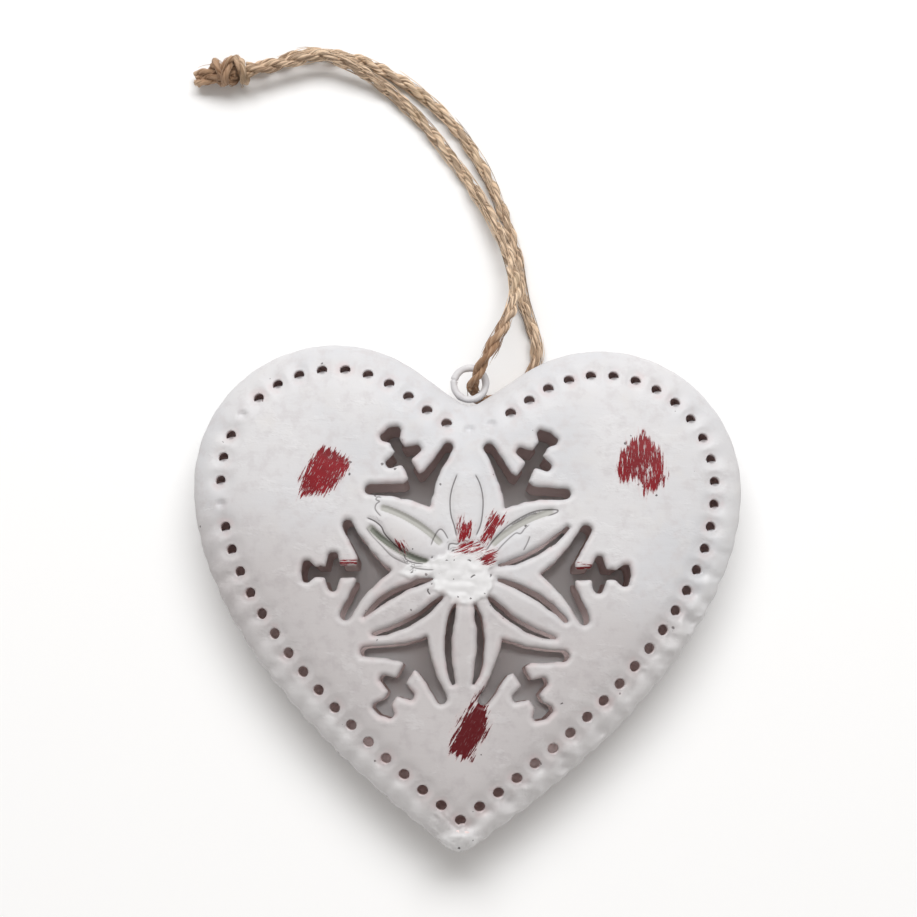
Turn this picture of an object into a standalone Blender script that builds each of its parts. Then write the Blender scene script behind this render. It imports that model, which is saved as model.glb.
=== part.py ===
# A puffed metal heart ornament: two domed sheet-metal halves, pierced with a six-petal snowflake and
# punched all round, a wire ring at the notch and a loop of jute twine tied in an overhand knot.
# Metres. The heart lies on its back, +X to its right, +Y towards the ring, +Z through its thickness.
import math

import bmesh
import bpy
from mathutils import Vector

MM = 0.001

# The heart's outline
HEART_WIDTH = 90.0 * MM
HEART_HEIGHT = 82.1 * MM
HEART_DEPTH = 15.0 * MM
LOBE_RADIUS = 23.0 * MM
LOBE_SWEEP = math.radians(122)
NOTCH_DEPTH = 9.65 * MM
NOTCH_LOBE_HANDLE = 4.8 * MM
NOTCH_FLOOR_HANDLE = 1.8 * MM
TIP_RADIUS = 3.0 * MM
TIP_HALF_ANGLE = math.radians(54.5)
SIDE_TIP_HANDLE = 23.5 * MM
SIDE_LOBE_HANDLE = 23.0 * MM

# The two halves
SHEET = 0.6 * MM
GAP = 0.3 * MM
FLAT_SHARE = 0.62
DOME_STEPS = 4
CUT_PAST = 3.75 * MM

# Steps along one half of the outline
TIP_STEPS = 2
SIDE_STEPS = 9
CROWN_STEPS = 6
INNER_LOBE_STEPS = 2
NOTCH_STEPS = 4

# Punched holes near the rim
HOLE_RADIUS = 0.85 * MM
HOLE_INSET = 4.8 * MM
HOLE_SIDES = 6
RIGHT_COUNT = 32
LEFT_COUNT = 31
ROW_STEPS = 5

# The snowflake: the cut-outs between its petals are small trees, sized in order from its middle outwards
FLOWER_Y = 3.4 * MM
PETAL_COUNT = 6
TREE_APEX = 11.9 * MM
PETAL_EDGE_RISE = 2.5 * MM
PETAL_EDGE_HALF = 2.2 * MM
ARM_LENGTH = 7.2 * MM
ARM_SPREAD = 7.2 * MM
ARM_HALF_WIDTH = 0.83 * MM
ARM_ANGLE = math.radians(64)
TONGUE_LENGTH = 5.5 * MM
TONGUE_HALF = 1.95 * MM
STEM_LENGTH = 2.65 * MM
STEM_HALF = 0.9 * MM
BUD_LENGTH = 2.5 * MM
BUD_SHOULDER = 0.75 * MM
BUD_HALF = 3.05 * MM
NECK_LENGTH = 1.55 * MM
NECK_HALF = 0.8 * MM
HEAD_FLARE = 1.1 * MM
HEAD_LENGTH = 1.2 * MM
HEAD_HALF = 1.75 * MM
HEAD_ROUND = 0.4 * MM
EDGE_STEPS = 4
ARM_END_STEPS = 4

# Each petal's leaf and the slots beside it, measured from the snowflake's middle
LEAF_START = 5.1 * MM
LEAF_END = 17.8 * MM
LEAF_MIDDLE = 10.4 * MM
LEAF_TIP_HALF = 1.35 * MM
LEAF_HALF = 2.0 * MM
SLOT_WIDTH = 0.95 * MM
SLOT_STEPS = 4

# What thick paint has closed on the front: (petal's angle, side of the leaf), and holes counted from the top
CLOSED_SLOTS = ((90, -1), (90, 1), (150, -1), (150, 1), (30, 1))
CLOSED_RIGHT = (0,)
CLOSED_LEFT = (10, 14)

# The wire ring
RING_WIRE_RADIUS = 0.6 * MM
RING_RADIUS = 2.65 * MM
RING_STEPS = 24
WIRE_STEPS = 8

# The twine: its route runs from the knot, over the ring's top, down through it and back beside itself
TWINE_RADIUS = 1.05 * MM
TWINE_POINTS = 64
ROUTE_STEPS = 24
TWINE_ROUTE = (
    (-39.8, 89.2, 3.75), (-34.7, 90.6, 3.3), (-30.4, 91.9, 3.3), (-26.2, 92.7, 3.3), (-22.7, 91.5, 3.1),
    (-19.2, 89.9, 2.4), (-14.4, 86.8, 1.3), (-9.6, 82.3, 1.05), (-2.3, 73.4, 1.05), (3.3, 64.5, 2.6),
    (5.3, 60.2, 3.3), (6.8, 55.6, 4.1), (7.3, 51.2, 6.0), (6.4, 47.0, 8.7), (4.7, 43.2, 10.9),
    (3.0, 39.9, 11.4), (1.5, 37.0, 10.1), (0.5, 34.9, 7.5), (1.0, 33.5, 4.8), (2.9, 33.0, 2.9),
    (5.4, 33.8, 1.8), (7.9, 35.2, 1.2), (10.0, 37.4, 1.05), (11.1, 40.3, 1.05), (11.1, 43.5, 1.05),
    (9.0, 50.2, 1.05), (8.3, 53.6, 1.05), (7.8, 57.4, 1.05), (5.1, 66.1, 1.05), (-0.1, 76.5, 1.05),
    (-8.1, 85.7, 1.05), (-18.5, 92.1, 1.05), (-22.4, 93.2, 1.05), (-26.4, 93.8, 1.05), (-30.7, 93.5, 1.05),
    (-35.0, 91.9, 1.1), (-39.8, 90.7, 1.75))

# The knot, along its own length from the face that the two strands enter
KNOT_LENGTH = 9.0 * MM
KNOT_BALL_LENGTH = 6.6 * MM
KNOT_RADIUS = 2.95 * MM
KNOT_FACE_RADIUS = 2.4 * MM
KNOT_TAIL_RADIUS = 1.35 * MM
KNOT_TURN = math.radians(8)
KNOT_STEPS = 5
KNOT_SIDES = 12

MIDDLE_Z = HEART_DEPTH / 2
LOBE_CENTRE = Vector((HEART_WIDTH / 2 - LOBE_RADIUS, HEART_HEIGHT / 2 - LOBE_RADIUS))
NOTCH_Y = HEART_HEIGHT / 2 - NOTCH_DEPTH
TIP_Y = -HEART_HEIGHT / 2
FLOWER_CENTRE = Vector((0.0, FLOWER_Y))


def polar(radius, angle):
    return Vector((math.cos(angle), math.sin(angle))) * radius


def cubic(start, start_handle, end_handle, end, t):
    s = 1 - t
    return start * s ** 3 + start_handle * 3 * s * s * t + end_handle * 3 * s * t * t + end * t ** 3


def arc_through(start, middle, end, steps):
    """Points on the circle through three points, its two ends among them."""
    a, b = middle - start, end - start
    area = 2 * (a.x * b.y - a.y * b.x)
    centre = start + Vector((b.y * a.length_squared - a.y * b.length_squared,
                             a.x * b.length_squared - b.x * a.length_squared)) / area
    first = math.atan2(start.y - centre.y, start.x - centre.x)
    turn = math.atan2(end.y - centre.y, end.x - centre.x) - first
    turn = (turn + math.pi) % math.tau - math.pi
    radius = (start - centre).length
    return [centre + polar(radius, first + turn * i / steps) for i in range(steps + 1)]


def right_half(fineness=1):
    """The outline's right half, from the tip up the side and over the lobe to the notch."""
    tip_centre = Vector((0.0, TIP_Y + TIP_RADIUS))
    tip_end = tip_centre + polar(TIP_RADIUS, -TIP_HALF_ANGLE)
    widest = Vector((HEART_WIDTH / 2, LOBE_CENTRE.y))
    side_out = tip_end + Vector((math.sin(TIP_HALF_ANGLE), math.cos(TIP_HALF_ANGLE))) * SIDE_TIP_HANDLE
    side_in = widest - Vector((0.0, SIDE_LOBE_HANDLE))
    lobe_end = LOBE_CENTRE + polar(LOBE_RADIUS, LOBE_SWEEP)
    notch_out = lobe_end + polar(NOTCH_LOBE_HANDLE, LOBE_SWEEP + math.pi / 2)
    notch_in = Vector((NOTCH_FLOOR_HANDLE, NOTCH_Y))
    notch = Vector((0.0, NOTCH_Y))
    tip_sweep = math.pi / 2 - TIP_HALF_ANGLE
    crown = math.pi / 2
    tip_n, side_n, notch_n = TIP_STEPS * fineness, SIDE_STEPS * fineness, NOTCH_STEPS * fineness
    crown_n, inner_n = CROWN_STEPS * fineness, INNER_LOBE_STEPS * fineness
    lobe_turns = [crown * i / crown_n for i in range(crown_n)]
    lobe_turns += [crown + (LOBE_SWEEP - crown) * i / inner_n for i in range(inner_n)]
    points = [tip_centre + polar(TIP_RADIUS, -math.pi / 2 + tip_sweep * i / tip_n) for i in range(tip_n)]
    points += [cubic(tip_end, side_out, side_in, widest, i / side_n) for i in range(side_n)]
    points += [LOBE_CENTRE + polar(LOBE_RADIUS, turn) for turn in lobe_turns]
    points += [cubic(lobe_end, notch_out, notch_in, notch, i / notch_n) for i in range(notch_n + 1)]
    return points


def mirrored(points):
    return [Vector((-p.x, p.y)) for p in points]


def heart_outline():
    right = right_half()
    return right + mirrored(reversed(right[1:-1]))


def hole_row():
    """Hole centres: the middle one at the top, the one at the tip, then each side from the top down."""
    half = right_half(ROW_STEPS)
    row = []
    for before, here, after in zip(half, half[1:], half[2:]):
        along = (after - before).normalized()
        inner = here + Vector((-along.y, along.x)) * HOLE_INSET
        if inner.x > 0:
            row.append(inner)
    top = Vector((0.0, row[-1].y))
    tip = Vector((0.0, row[0].y - row[0].x / math.tan(TIP_HALF_ANGLE)))
    row = [top] + row[::-1] + [tip]
    sides = {}
    for side, count in ((1, RIGHT_COUNT), (-1, LEFT_COUNT)):
        spread = spaced(row, count + 2)[1:-1]
        sides[side] = [Vector((side * p.x, p.y)) for p in spread]
    return top, tip, sides[1], sides[-1]


def spaced(points, count):
    """Points at even steps along a line of points."""
    travelled = [0.0]
    for a, b in zip(points, points[1:]):
        travelled.append(travelled[-1] + (b - a).length)
    result = []
    piece = 0
    for i in range(count):
        target = travelled[-1] * i / (count - 1)
        while piece < len(points) - 2 and travelled[piece + 1] < target:
            piece += 1
        share = (target - travelled[piece]) / (travelled[piece + 1] - travelled[piece])
        result.append(points[piece].lerp(points[piece + 1], share))
    return result


def on_flower(points, angle):
    """Turns points from their own axis to an arm or petal of the snowflake."""
    ray, across = polar(1.0, angle), polar(1.0, angle + math.pi / 2)
    return [FLOWER_CENTRE + ray * p.x + across * p.y for p in points]


def tree_outline(angle):
    """One cut-out between two petals: two arms, a stem with a bud on each side, and a flared head."""
    arm_end = Vector((TREE_APEX + ARM_LENGTH, ARM_SPREAD))
    inner_end = arm_end + polar(ARM_HALF_WIDTH, ARM_ANGLE + math.pi / 2)
    edge = Vector((TREE_APEX + PETAL_EDGE_RISE, PETAL_EDGE_HALF))
    half = arc_through(Vector((TREE_APEX, 0.0)), edge, inner_end, EDGE_STEPS)
    for i in range(1, ARM_END_STEPS + 1):
        half.append(arm_end + polar(ARM_HALF_WIDTH, ARM_ANGLE + math.pi / 2 - math.pi * i / ARM_END_STEPS))
    tongue = TREE_APEX + TONGUE_LENGTH
    bud = tongue + STEM_LENGTH
    neck = bud + BUD_LENGTH
    head = neck + NECK_LENGTH
    corner = head + HEAD_FLARE
    end = corner + HEAD_LENGTH
    half += [Vector(p) for p in (
        (tongue, TONGUE_HALF), (tongue, STEM_HALF), (bud, STEM_HALF),
        (bud + BUD_SHOULDER, BUD_HALF), (neck - BUD_SHOULDER, BUD_HALF),
        (neck, NECK_HALF), (head, NECK_HALF), (corner, HEAD_HALF),
        (end - HEAD_ROUND, HEAD_HALF), (end, 0.0))]
    other = [Vector((p.x, -p.y)) for p in reversed(half[1:-1])]
    return on_flower(half + other, angle)


def slot_outline(angle, side):
    """One crescent slot between a petal's leaf and its rim."""
    inner = arc_through(Vector((LEAF_START, LEAF_TIP_HALF)), Vector((LEAF_MIDDLE, LEAF_HALF)),
                        Vector((LEAF_END, LEAF_TIP_HALF)), SLOT_STEPS)
    tip_gap = SLOT_WIDTH / 4
    outer_middle = Vector((LEAF_MIDDLE, LEAF_HALF + SLOT_WIDTH))
    outer = arc_through(Vector((LEAF_START, LEAF_TIP_HALF + tip_gap)), outer_middle,
                        Vector((LEAF_END + tip_gap, LEAF_TIP_HALF + tip_gap)), SLOT_STEPS)
    loop = inner + outer[::-1]
    return on_flower([Vector((p.x, side * p.y)) for p in loop], angle)


def add_prism(bm, loop):
    """A straight-sided cutter through both halves."""
    low = [bm.verts.new((p.x, p.y, -CUT_PAST)) for p in loop]
    bottom = bm.faces.new(low)
    top = bmesh.ops.extrude_face_region(bm, geom=[bottom])["geom"]
    lift = [v for v in top if isinstance(v, bmesh.types.BMVert)]
    bmesh.ops.translate(bm, vec=(0.0, 0.0, HEART_DEPTH + 2 * CUT_PAST), verts=lift)


def new_object(name, bm, material):
    bmesh.ops.recalc_face_normals(bm, faces=bm.faces)
    mesh = bpy.data.meshes.new(name)
    bm.to_mesh(mesh)
    bm.free()
    if material:
        mesh.materials.append(material)
    obj = bpy.data.objects.new(name, mesh)
    bpy.context.scene.collection.objects.link(obj)
    return obj


def cutter(name, closed_slots, closed_right, closed_left, top_closed):
    bm = bmesh.new()
    sector = math.tau / PETAL_COUNT
    for i in range(PETAL_COUNT):
        add_prism(bm, tree_outline(sector * i))
        petal = sector * (i + 0.5)
        for side in (-1, 1):
            if (round(math.degrees(petal)), side) not in closed_slots:
                add_prism(bm, slot_outline(petal, side))
    top, tip, right, left = hole_row()
    centres = [tip] + [p for i, p in enumerate(right) if i not in closed_right]
    centres += [p for i, p in enumerate(left) if i not in closed_left]
    if not top_closed:
        centres.append(top)
    for centre in centres:
        add_prism(bm, [centre + polar(HOLE_RADIUS, math.tau * i / HOLE_SIDES) for i in range(HOLE_SIDES)])
    obj = new_object(name, bm, None)
    obj.hide_render = True
    obj.display_type = "WIRE"
    return obj


def dome_ring(outline, outward, depth, turn):
    """One ring of the dome, at a turn from 0 on the rim to a right angle where the flat middle begins."""
    scale = FLAT_SHARE + (1 - FLAT_SHARE) * math.cos(turn)
    height = depth * math.sin(turn)
    skin, lining = [], []
    for p in outline:
        ray = p - FLOWER_CENTRE
        flat = FLOWER_CENTRE + ray * scale
        run = ray.length * (1 - FLAT_SHARE)
        wall = Vector((depth * math.cos(turn), run * math.sin(turn))).normalized() * SHEET
        inner = flat - ray.normalized() * wall.x
        skin.append((flat.x, flat.y, outward * height))
        lining.append((inner.x, inner.y, outward * (height - wall.y)))
    return skin, lining


def half_shell(name, outward, cut, material):
    """A domed half: outward is 1 for the front and -1 for the back."""
    bm = bmesh.new()
    depth = MIDDLE_Z - GAP / 2
    start = MIDDLE_Z + outward * GAP / 2
    outline = heart_outline()
    skins, linings = [], []
    for i in range(DOME_STEPS + 1):
        skin, lining = dome_ring(outline, outward, depth, math.pi / 2 * i / DOME_STEPS)
        skins.append([bm.verts.new((x, y, start + z)) for x, y, z in skin])
        linings.append([bm.verts.new((x, y, start + z)) for x, y, z in lining])
    count = len(outline)
    rows = linings[::-1] + skins
    for lower, upper in zip(rows, rows[1:]):
        for i in range(count):
            j = (i + 1) % count
            bm.faces.new((lower[i], lower[j], upper[j], upper[i]))
    bm.faces.new(rows[0][::-1])
    bm.faces.new(rows[-1])
    obj = new_object(name, bm, material)
    piercing = obj.modifiers.new("piercing", "BOOLEAN")
    piercing.operation = "DIFFERENCE"
    piercing.solver = "EXACT"
    piercing.use_self = True
    piercing.object = cut
    return obj


def ring_seat():
    """The lowest centre at which the ring clears the rim of the notch on both sides."""
    reach = RING_RADIUS + RING_WIRE_RADIUS + GAP
    notch = [p for p in right_half(ROW_STEPS) if p.x < reach and p.y > LOBE_CENTRE.y]
    return max(p.y + math.sqrt(reach ** 2 - p.x ** 2) for p in notch)


def hanging_ring(material):
    bpy.ops.mesh.primitive_torus_add(major_radius=RING_RADIUS, minor_radius=RING_WIRE_RADIUS,
                                     major_segments=RING_STEPS, minor_segments=WIRE_STEPS)
    ring = bpy.context.object
    ring.name = "hanging_ring"
    ring.location = (0.0, ring_seat(), MIDDLE_Z)
    ring.data.materials.append(material)
    ring.data.shade_smooth()
    return ring


def smooth_route(route):
    """A smooth curve through the route's points, spaced more closely where they are close together."""
    ends = [route[0] * 2 - route[1]] + route + [route[-1] * 2 - route[-2]]
    curve = []
    for p0, p1, p2, p3 in zip(ends, ends[1:], ends[2:], ends[3:]):
        k0 = 0.0
        k1 = k0 + math.sqrt((p1 - p0).length)
        k2 = k1 + math.sqrt((p2 - p1).length)
        k3 = k2 + math.sqrt((p3 - p2).length)
        for i in range(ROUTE_STEPS):
            t = k1 + (k2 - k1) * i / ROUTE_STEPS
            a1 = p0.lerp(p1, (t - k0) / (k1 - k0))
            a2 = p1.lerp(p2, (t - k1) / (k2 - k1))
            a3 = p2.lerp(p3, (t - k2) / (k3 - k2))
            b1 = a1.lerp(a2, (t - k0) / (k2 - k0))
            b2 = a2.lerp(a3, (t - k1) / (k3 - k1))
            curve.append(b1.lerp(b2, (t - k1) / (k2 - k1)))
    return curve + [route[-1]]


def twine(route, material):
    data = bpy.data.curves.new("twine", "CURVE")
    data.dimensions = "3D"
    data.bevel_depth = TWINE_RADIUS
    data.bevel_resolution = 2
    data.use_fill_caps = True
    points = spaced(smooth_route(route), TWINE_POINTS)
    spline = data.splines.new("POLY")
    spline.points.add(len(points) - 1)
    for target, p in zip(spline.points, points):
        target.co = (p.x, p.y, max(p.z, TWINE_RADIUS), 1.0)
    spline.use_smooth = True
    data.materials.append(material)
    obj = bpy.data.objects.new("twine", data)
    bpy.context.scene.collection.objects.link(obj)
    return obj


def knot_profile():
    """Distance along the knot and radius there: an oval ball, then the bundled cut ends."""
    face_turn = -math.acos(KNOT_FACE_RADIUS / KNOT_RADIUS)
    tail_turn = math.acos(KNOT_TAIL_RADIUS / KNOT_RADIUS)
    stretch = KNOT_BALL_LENGTH / (math.sin(tail_turn) - math.sin(face_turn))
    profile = []
    for i in range(KNOT_STEPS + 1):
        turn = face_turn + (tail_turn - face_turn) * i / KNOT_STEPS
        profile.append((stretch * (math.sin(turn) - math.sin(face_turn)), KNOT_RADIUS * math.cos(turn)))
    return profile + [(KNOT_LENGTH, KNOT_TAIL_RADIUS)]


def twine_knot(route, material):
    """The overhand knot as one rounded body that lies on the same surface as the heart."""
    strands = (route[0] + route[-1]) / 2
    heading = Vector((-math.cos(KNOT_TURN), -math.sin(KNOT_TURN), 0.0))
    up = Vector((0.0, 0.0, 1.0))
    across = heading.cross(up)
    bm = bmesh.new()
    loops = []
    for along, radius in knot_profile():
        middle = strands + heading * (GAP + along)
        middle.z = KNOT_RADIUS - (KNOT_RADIUS - radius) * along / KNOT_LENGTH
        loop = []
        for i in range(KNOT_SIDES):
            turn = math.tau * i / KNOT_SIDES
            loop.append(bm.verts.new(middle + (across * math.cos(turn) + up * math.sin(turn)) * radius))
        loops.append(loop)
    for lower, upper in zip(loops, loops[1:]):
        for i in range(KNOT_SIDES):
            j = (i + 1) % KNOT_SIDES
            bm.faces.new((lower[i], lower[j], upper[j], upper[i]))
    bm.faces.new(loops[0][::-1])
    bm.faces.new(loops[-1])
    for face in bm.faces:
        face.smooth = len(face.verts) == 4
    return new_object("twine_knot", bm, material)


def finish(name, colour, roughness, metallic):
    material = bpy.data.materials.new(name)
    material.use_nodes = True
    shader = material.node_tree.nodes["Principled BSDF"]
    shader.inputs["Base Color"].default_value = (*colour, 1.0)
    shader.inputs["Roughness"].default_value = roughness
    shader.inputs["Metallic"].default_value = metallic
    return material


def main():
    for obj in list(bpy.data.objects):
        bpy.data.objects.remove(obj, do_unlink=True)
    white_paint = finish("white_paint", (0.78, 0.77, 0.78), 0.55, 0.0)
    back_paint = finish("back_paint", (0.74, 0.73, 0.74), 0.6, 0.0)
    ring_paint = finish("ring_paint", (0.8, 0.79, 0.8), 0.5, 0.0)
    jute = finish("jute", (0.47, 0.31, 0.17), 0.9, 0.0)
    knot_jute = finish("knot_jute", (0.38, 0.25, 0.13), 0.9, 0.0)
    front_cut = cutter("front_cutter", CLOSED_SLOTS, CLOSED_RIGHT, CLOSED_LEFT, True)
    back_cut = cutter("back_cutter", (), (), (), False)
    half_shell("front_shell", 1, front_cut, white_paint)
    half_shell("back_shell", -1, back_cut, back_paint)
    hanging_ring(ring_paint)
    route = [Vector(p) * MM for p in TWINE_ROUTE]
    twine(route, jute)
    twine_knot(route, knot_jute)


main()
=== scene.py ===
import math
import bmesh
import bpy
import numpy as np
from mathutils import Matrix, Vector


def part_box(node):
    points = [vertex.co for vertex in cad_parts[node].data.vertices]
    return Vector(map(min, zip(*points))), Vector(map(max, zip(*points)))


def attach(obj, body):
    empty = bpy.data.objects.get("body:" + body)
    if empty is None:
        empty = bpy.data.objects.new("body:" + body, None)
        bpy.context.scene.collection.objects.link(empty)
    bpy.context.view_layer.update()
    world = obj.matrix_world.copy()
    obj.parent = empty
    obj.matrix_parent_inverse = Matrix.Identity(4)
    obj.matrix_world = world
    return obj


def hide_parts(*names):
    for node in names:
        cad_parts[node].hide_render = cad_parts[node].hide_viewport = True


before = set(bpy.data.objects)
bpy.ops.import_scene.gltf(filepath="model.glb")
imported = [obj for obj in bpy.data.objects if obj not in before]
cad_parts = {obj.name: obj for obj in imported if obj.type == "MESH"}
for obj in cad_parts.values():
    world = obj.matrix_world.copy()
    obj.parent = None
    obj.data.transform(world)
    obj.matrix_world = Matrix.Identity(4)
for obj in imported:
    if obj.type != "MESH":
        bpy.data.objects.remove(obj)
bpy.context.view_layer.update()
mm = 0.001               # shapes are worked out in millimetres and made metres as each mesh is finished

# Camera, floor and light
studio = {
    "cameraAt": (-1.6, -16.0, 300.5),   # mm, almost straight above the heart
    "lookDown": 7.5,                    # degrees off the vertical
    "roll": 1.3,                        # degrees
    "fieldOfView": 28.71,               # degrees across the square picture
    "floorHalf": 1500.0,
    "floorColour": (0.93, 0.93, 0.93),
    "worldStrength": 0.36, "worldColour": (1.0, 0.965, 0.925),
    # name, place in mm, width and height in mm, watts, colour
    "lamps": (("key", (20.0, 600.0, 760.0), (1000.0, 450.0), 9.5, (0.99, 0.995, 1.0)),
              ("fill", (0.0, -420.0, 260.0), (400.0, 300.0), 0.32, (1.0, 0.98, 0.97))),
}


def placed(name, data):   # a new object, linked into the scene
    thing = bpy.data.objects.new(name, data)
    bpy.context.scene.collection.objects.link(thing)
    return thing


def meshFrom(bm, name, closed=True):
    if closed:
        bmesh.ops.recalc_face_normals(bm, faces=bm.faces)
    mesh = bpy.data.meshes.new(name)
    bm.to_mesh(mesh)
    bm.free()
    return mesh


def newMaterial(name):
    material = bpy.data.materials.new(name)
    material.use_nodes = True
    return material, material.node_tree, material.node_tree.nodes["Principled BSDF"]


def makeStudio(v):
    lens = bpy.data.cameras.new("camera")
    lens.sensor_width = 36.0
    lens.lens = lens.sensor_width / 2 / math.tan(math.radians(v["fieldOfView"] / 2))
    lens.clip_start, lens.clip_end = 0.01, 10.0
    camera = placed("camera", lens)
    tilt = Matrix.Rotation(math.radians(v["lookDown"]), 4, "X")
    roll = Matrix.Rotation(math.radians(v["roll"]), 4, "Z")
    camera.matrix_world = Matrix.Translation(Vector(v["cameraAt"]) * mm) @ (tilt @ roll)
    bpy.context.scene.camera = camera

    bm = bmesh.new()
    bmesh.ops.create_grid(bm, x_segments=1, y_segments=1, size=v["floorHalf"] * mm)
    mesh = meshFrom(bm, "floor", closed=False)
    floor = placed("floor", mesh)
    paper, _, shader = newMaterial("paleFloor")
    shader.inputs["Base Color"].default_value = (*v["floorColour"], 1)
    shader.inputs["Roughness"].default_value = 0.75
    shader.inputs["Specular IOR Level"].default_value = 0.2
    mesh.materials.append(paper)

    world = bpy.data.worlds.new("studio")
    bpy.context.scene.world = world
    world.use_nodes = True
    glow = world.node_tree.nodes["Background"]
    glow.inputs["Color"].default_value = (*v["worldColour"], 1)
    glow.inputs["Strength"].default_value = v["worldStrength"]
    for name, at, size, watts, colour in v["lamps"]:
        lamp = bpy.data.lights.new(name, "AREA")
        lamp.shape = "RECTANGLE"
        lamp.size, lamp.size_y = size[0] * mm, size[1] * mm
        lamp.energy = watts
        lamp.color = colour
        lampObject = placed(name, lamp)
        lampObject.location = Vector(at) * mm
        lampObject.rotation_euler = (-lampObject.location).to_track_quat("-Z", "Y").to_euler()
    bpy.context.scene.view_settings.view_transform = "Standard"


makeStudio(studio)
print("studio ready")


# The heart's outline and its piercing, in the same sizes as the solids
heart = {
    "width": 90.0, "height": 82.1,
    "lobeRadius": 23.0, "lobeSweep": 122.0,
    "notchDepth": 9.65, "notchLobeHandle": 4.8, "notchFloorHandle": 1.8,
    "tipRadius": 3.0, "tipHalfAngle": 54.5, "sideTipHandle": 23.5, "sideLobeHandle": 23.0,
    "flatShare": 0.62, "sheet": 0.6, "flowerY": 3.4, "seamZ": 7.5, "domeDepth": 7.5,
}
punching = {
    "radius": 0.89, "inset": 4.8, "rightCount": 32, "leftCount": 31,
    "closedRight": (0,), "closedLeft": (10, 14),
    "lipShare": (0.42, 0.12),           # how much of a hole its paint lip covers, at the top and at the tip
    "lipSide": (0.2, -0.98), "backLip": 0.74,
}
middle = np.array([0.0, heart["flowerY"]])


def polar(radius, degrees):
    return np.array([math.cos(math.radians(degrees)), math.sin(math.radians(degrees))]) * radius


def cubic(a, b, c, d, t):
    s = 1 - t
    return a * s ** 3 + b * 3 * s * s * t + c * 3 * s * t * t + d * t ** 3


def rightHalf(fineness=4):   # from the tip up the side and over the lobe to the notch
    h = heart
    lobe = np.array([h["width"] / 2 - h["lobeRadius"], h["height"] / 2 - h["lobeRadius"]])
    tipMiddle = np.array([0.0, -h["height"] / 2 + h["tipRadius"]])
    tipEnd = tipMiddle + polar(h["tipRadius"], -h["tipHalfAngle"])
    widest = np.array([h["width"] / 2, lobe[1]])
    sideOut = tipEnd + polar(h["sideTipHandle"], 90 - h["tipHalfAngle"])
    sideIn = widest - np.array([0.0, h["sideLobeHandle"]])
    lobeEnd = lobe + polar(h["lobeRadius"], h["lobeSweep"])
    notch = np.array([0.0, h["height"] / 2 - h["notchDepth"]])
    notchOut = lobeEnd + polar(h["notchLobeHandle"], h["lobeSweep"] + 90)
    notchIn = notch + np.array([h["notchFloorHandle"], 0.0])
    tipN, sideN, lobeN, notchN = 3 * fineness, 9 * fineness, 8 * fineness, 4 * fineness
    line = [tipMiddle + polar(h["tipRadius"], -90 + (90 - h["tipHalfAngle"]) * i / tipN) for i in range(tipN)]
    line += [cubic(tipEnd, sideOut, sideIn, widest, i / sideN) for i in range(sideN)]
    line += [lobe + polar(h["lobeRadius"], h["lobeSweep"] * i / lobeN) for i in range(lobeN)]
    line += [cubic(lobeEnd, notchOut, notchIn, notch, i / notchN) for i in range(notchN + 1)]
    return np.array(line)


def evenly(line, count):
    line = np.asarray(line, float)
    run = np.concatenate([[0.0], np.cumsum(np.linalg.norm(np.diff(line, axis=0), axis=1))])
    at = np.linspace(0, run[-1], count)
    return np.stack([np.interp(at, run, line[:, k]) for k in range(line.shape[1])], axis=1)


half = rightHalf()
outline = np.vstack([half, (half * (-1, 1))[-2:0:-1]])


def holeRow():   # middle hole at the top, tip hole, then each side from the top down
    line = rightHalf(6)
    along = line[2:] - line[:-2]
    along /= np.linalg.norm(along, axis=1)[:, None]
    inner = line[1:-1] + np.stack([-along[:, 1], along[:, 0]], axis=1) * punching["inset"]
    inner = inner[inner[:, 0] > 0]
    top = np.array([0.0, inner[-1][1]])
    tip = np.array([0.0, inner[0][1] - inner[0][0] / math.tan(math.radians(heart["tipHalfAngle"]))])
    row = np.vstack([top, inner[::-1], tip])
    right = evenly(row, punching["rightCount"] + 2)[1:-1]
    left = evenly(row, punching["leftCount"] + 2)[1:-1] * (-1, 1)
    return top, tip, right, left


topHole, tipHole, rightHoles, leftHoles = holeRow()

# The snowflake, each size in mm from its middle, along an arm or petal and across it
tree = {
    "apex": 11.9, "edge": (14.4, 2.2), "armEnd": (19.1, 7.2), "armHalf": 0.86, "armAngle": 64.0,
    "tongue": (17.5, 1.95), "stemHalf": 0.9, "bud": (20.1, 22.5), "budTip": (20.75, 21.85, 3.1),
    "neckHalf": 0.8, "head": (24.1, 25.2, 26.5), "headHalf": 1.78, "shoulder": 0.45, "round": 0.4,
    "lean": {180: 0.45, 120: -0.15, 60: 0.1, 0: 0.1, 240: 0.1, 300: -0.1},   # sideways drift of each stem
}
leaf = {
    "start": 5.1, "end": 17.8, "middle": 11.2, "tipHalf": 1.3, "half": 2.0, "slot": 1.15,
    # slots that paint has closed, and the share of "sunk" that it has sunk into each
    "closed": {(90, -1): 0.0, (90, 1): 0.0, (150, -1): 0.72, (150, 1): 1.0, (30, 1): 0.66}, "sunk": 0.85,
    "crown": 0.36,                      # the petal's rise in its middle
}


def arcThrough(start, mid, end, steps):
    a, b = mid - start, end - start
    area = 2 * (a[0] * b[1] - a[1] * b[0])
    hub = start + np.array([b[1] * (a @ a) - a[1] * (b @ b), a[0] * (b @ b) - b[0] * (a @ a)]) / area
    first = math.atan2(*(start - hub)[::-1])
    turn = (math.atan2(*(end - hub)[::-1]) - first + math.pi) % math.tau - math.pi
    radius = np.linalg.norm(start - hub)
    return [hub + polar(radius, math.degrees(first + turn * i / steps)) for i in range(steps + 1)]


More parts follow.
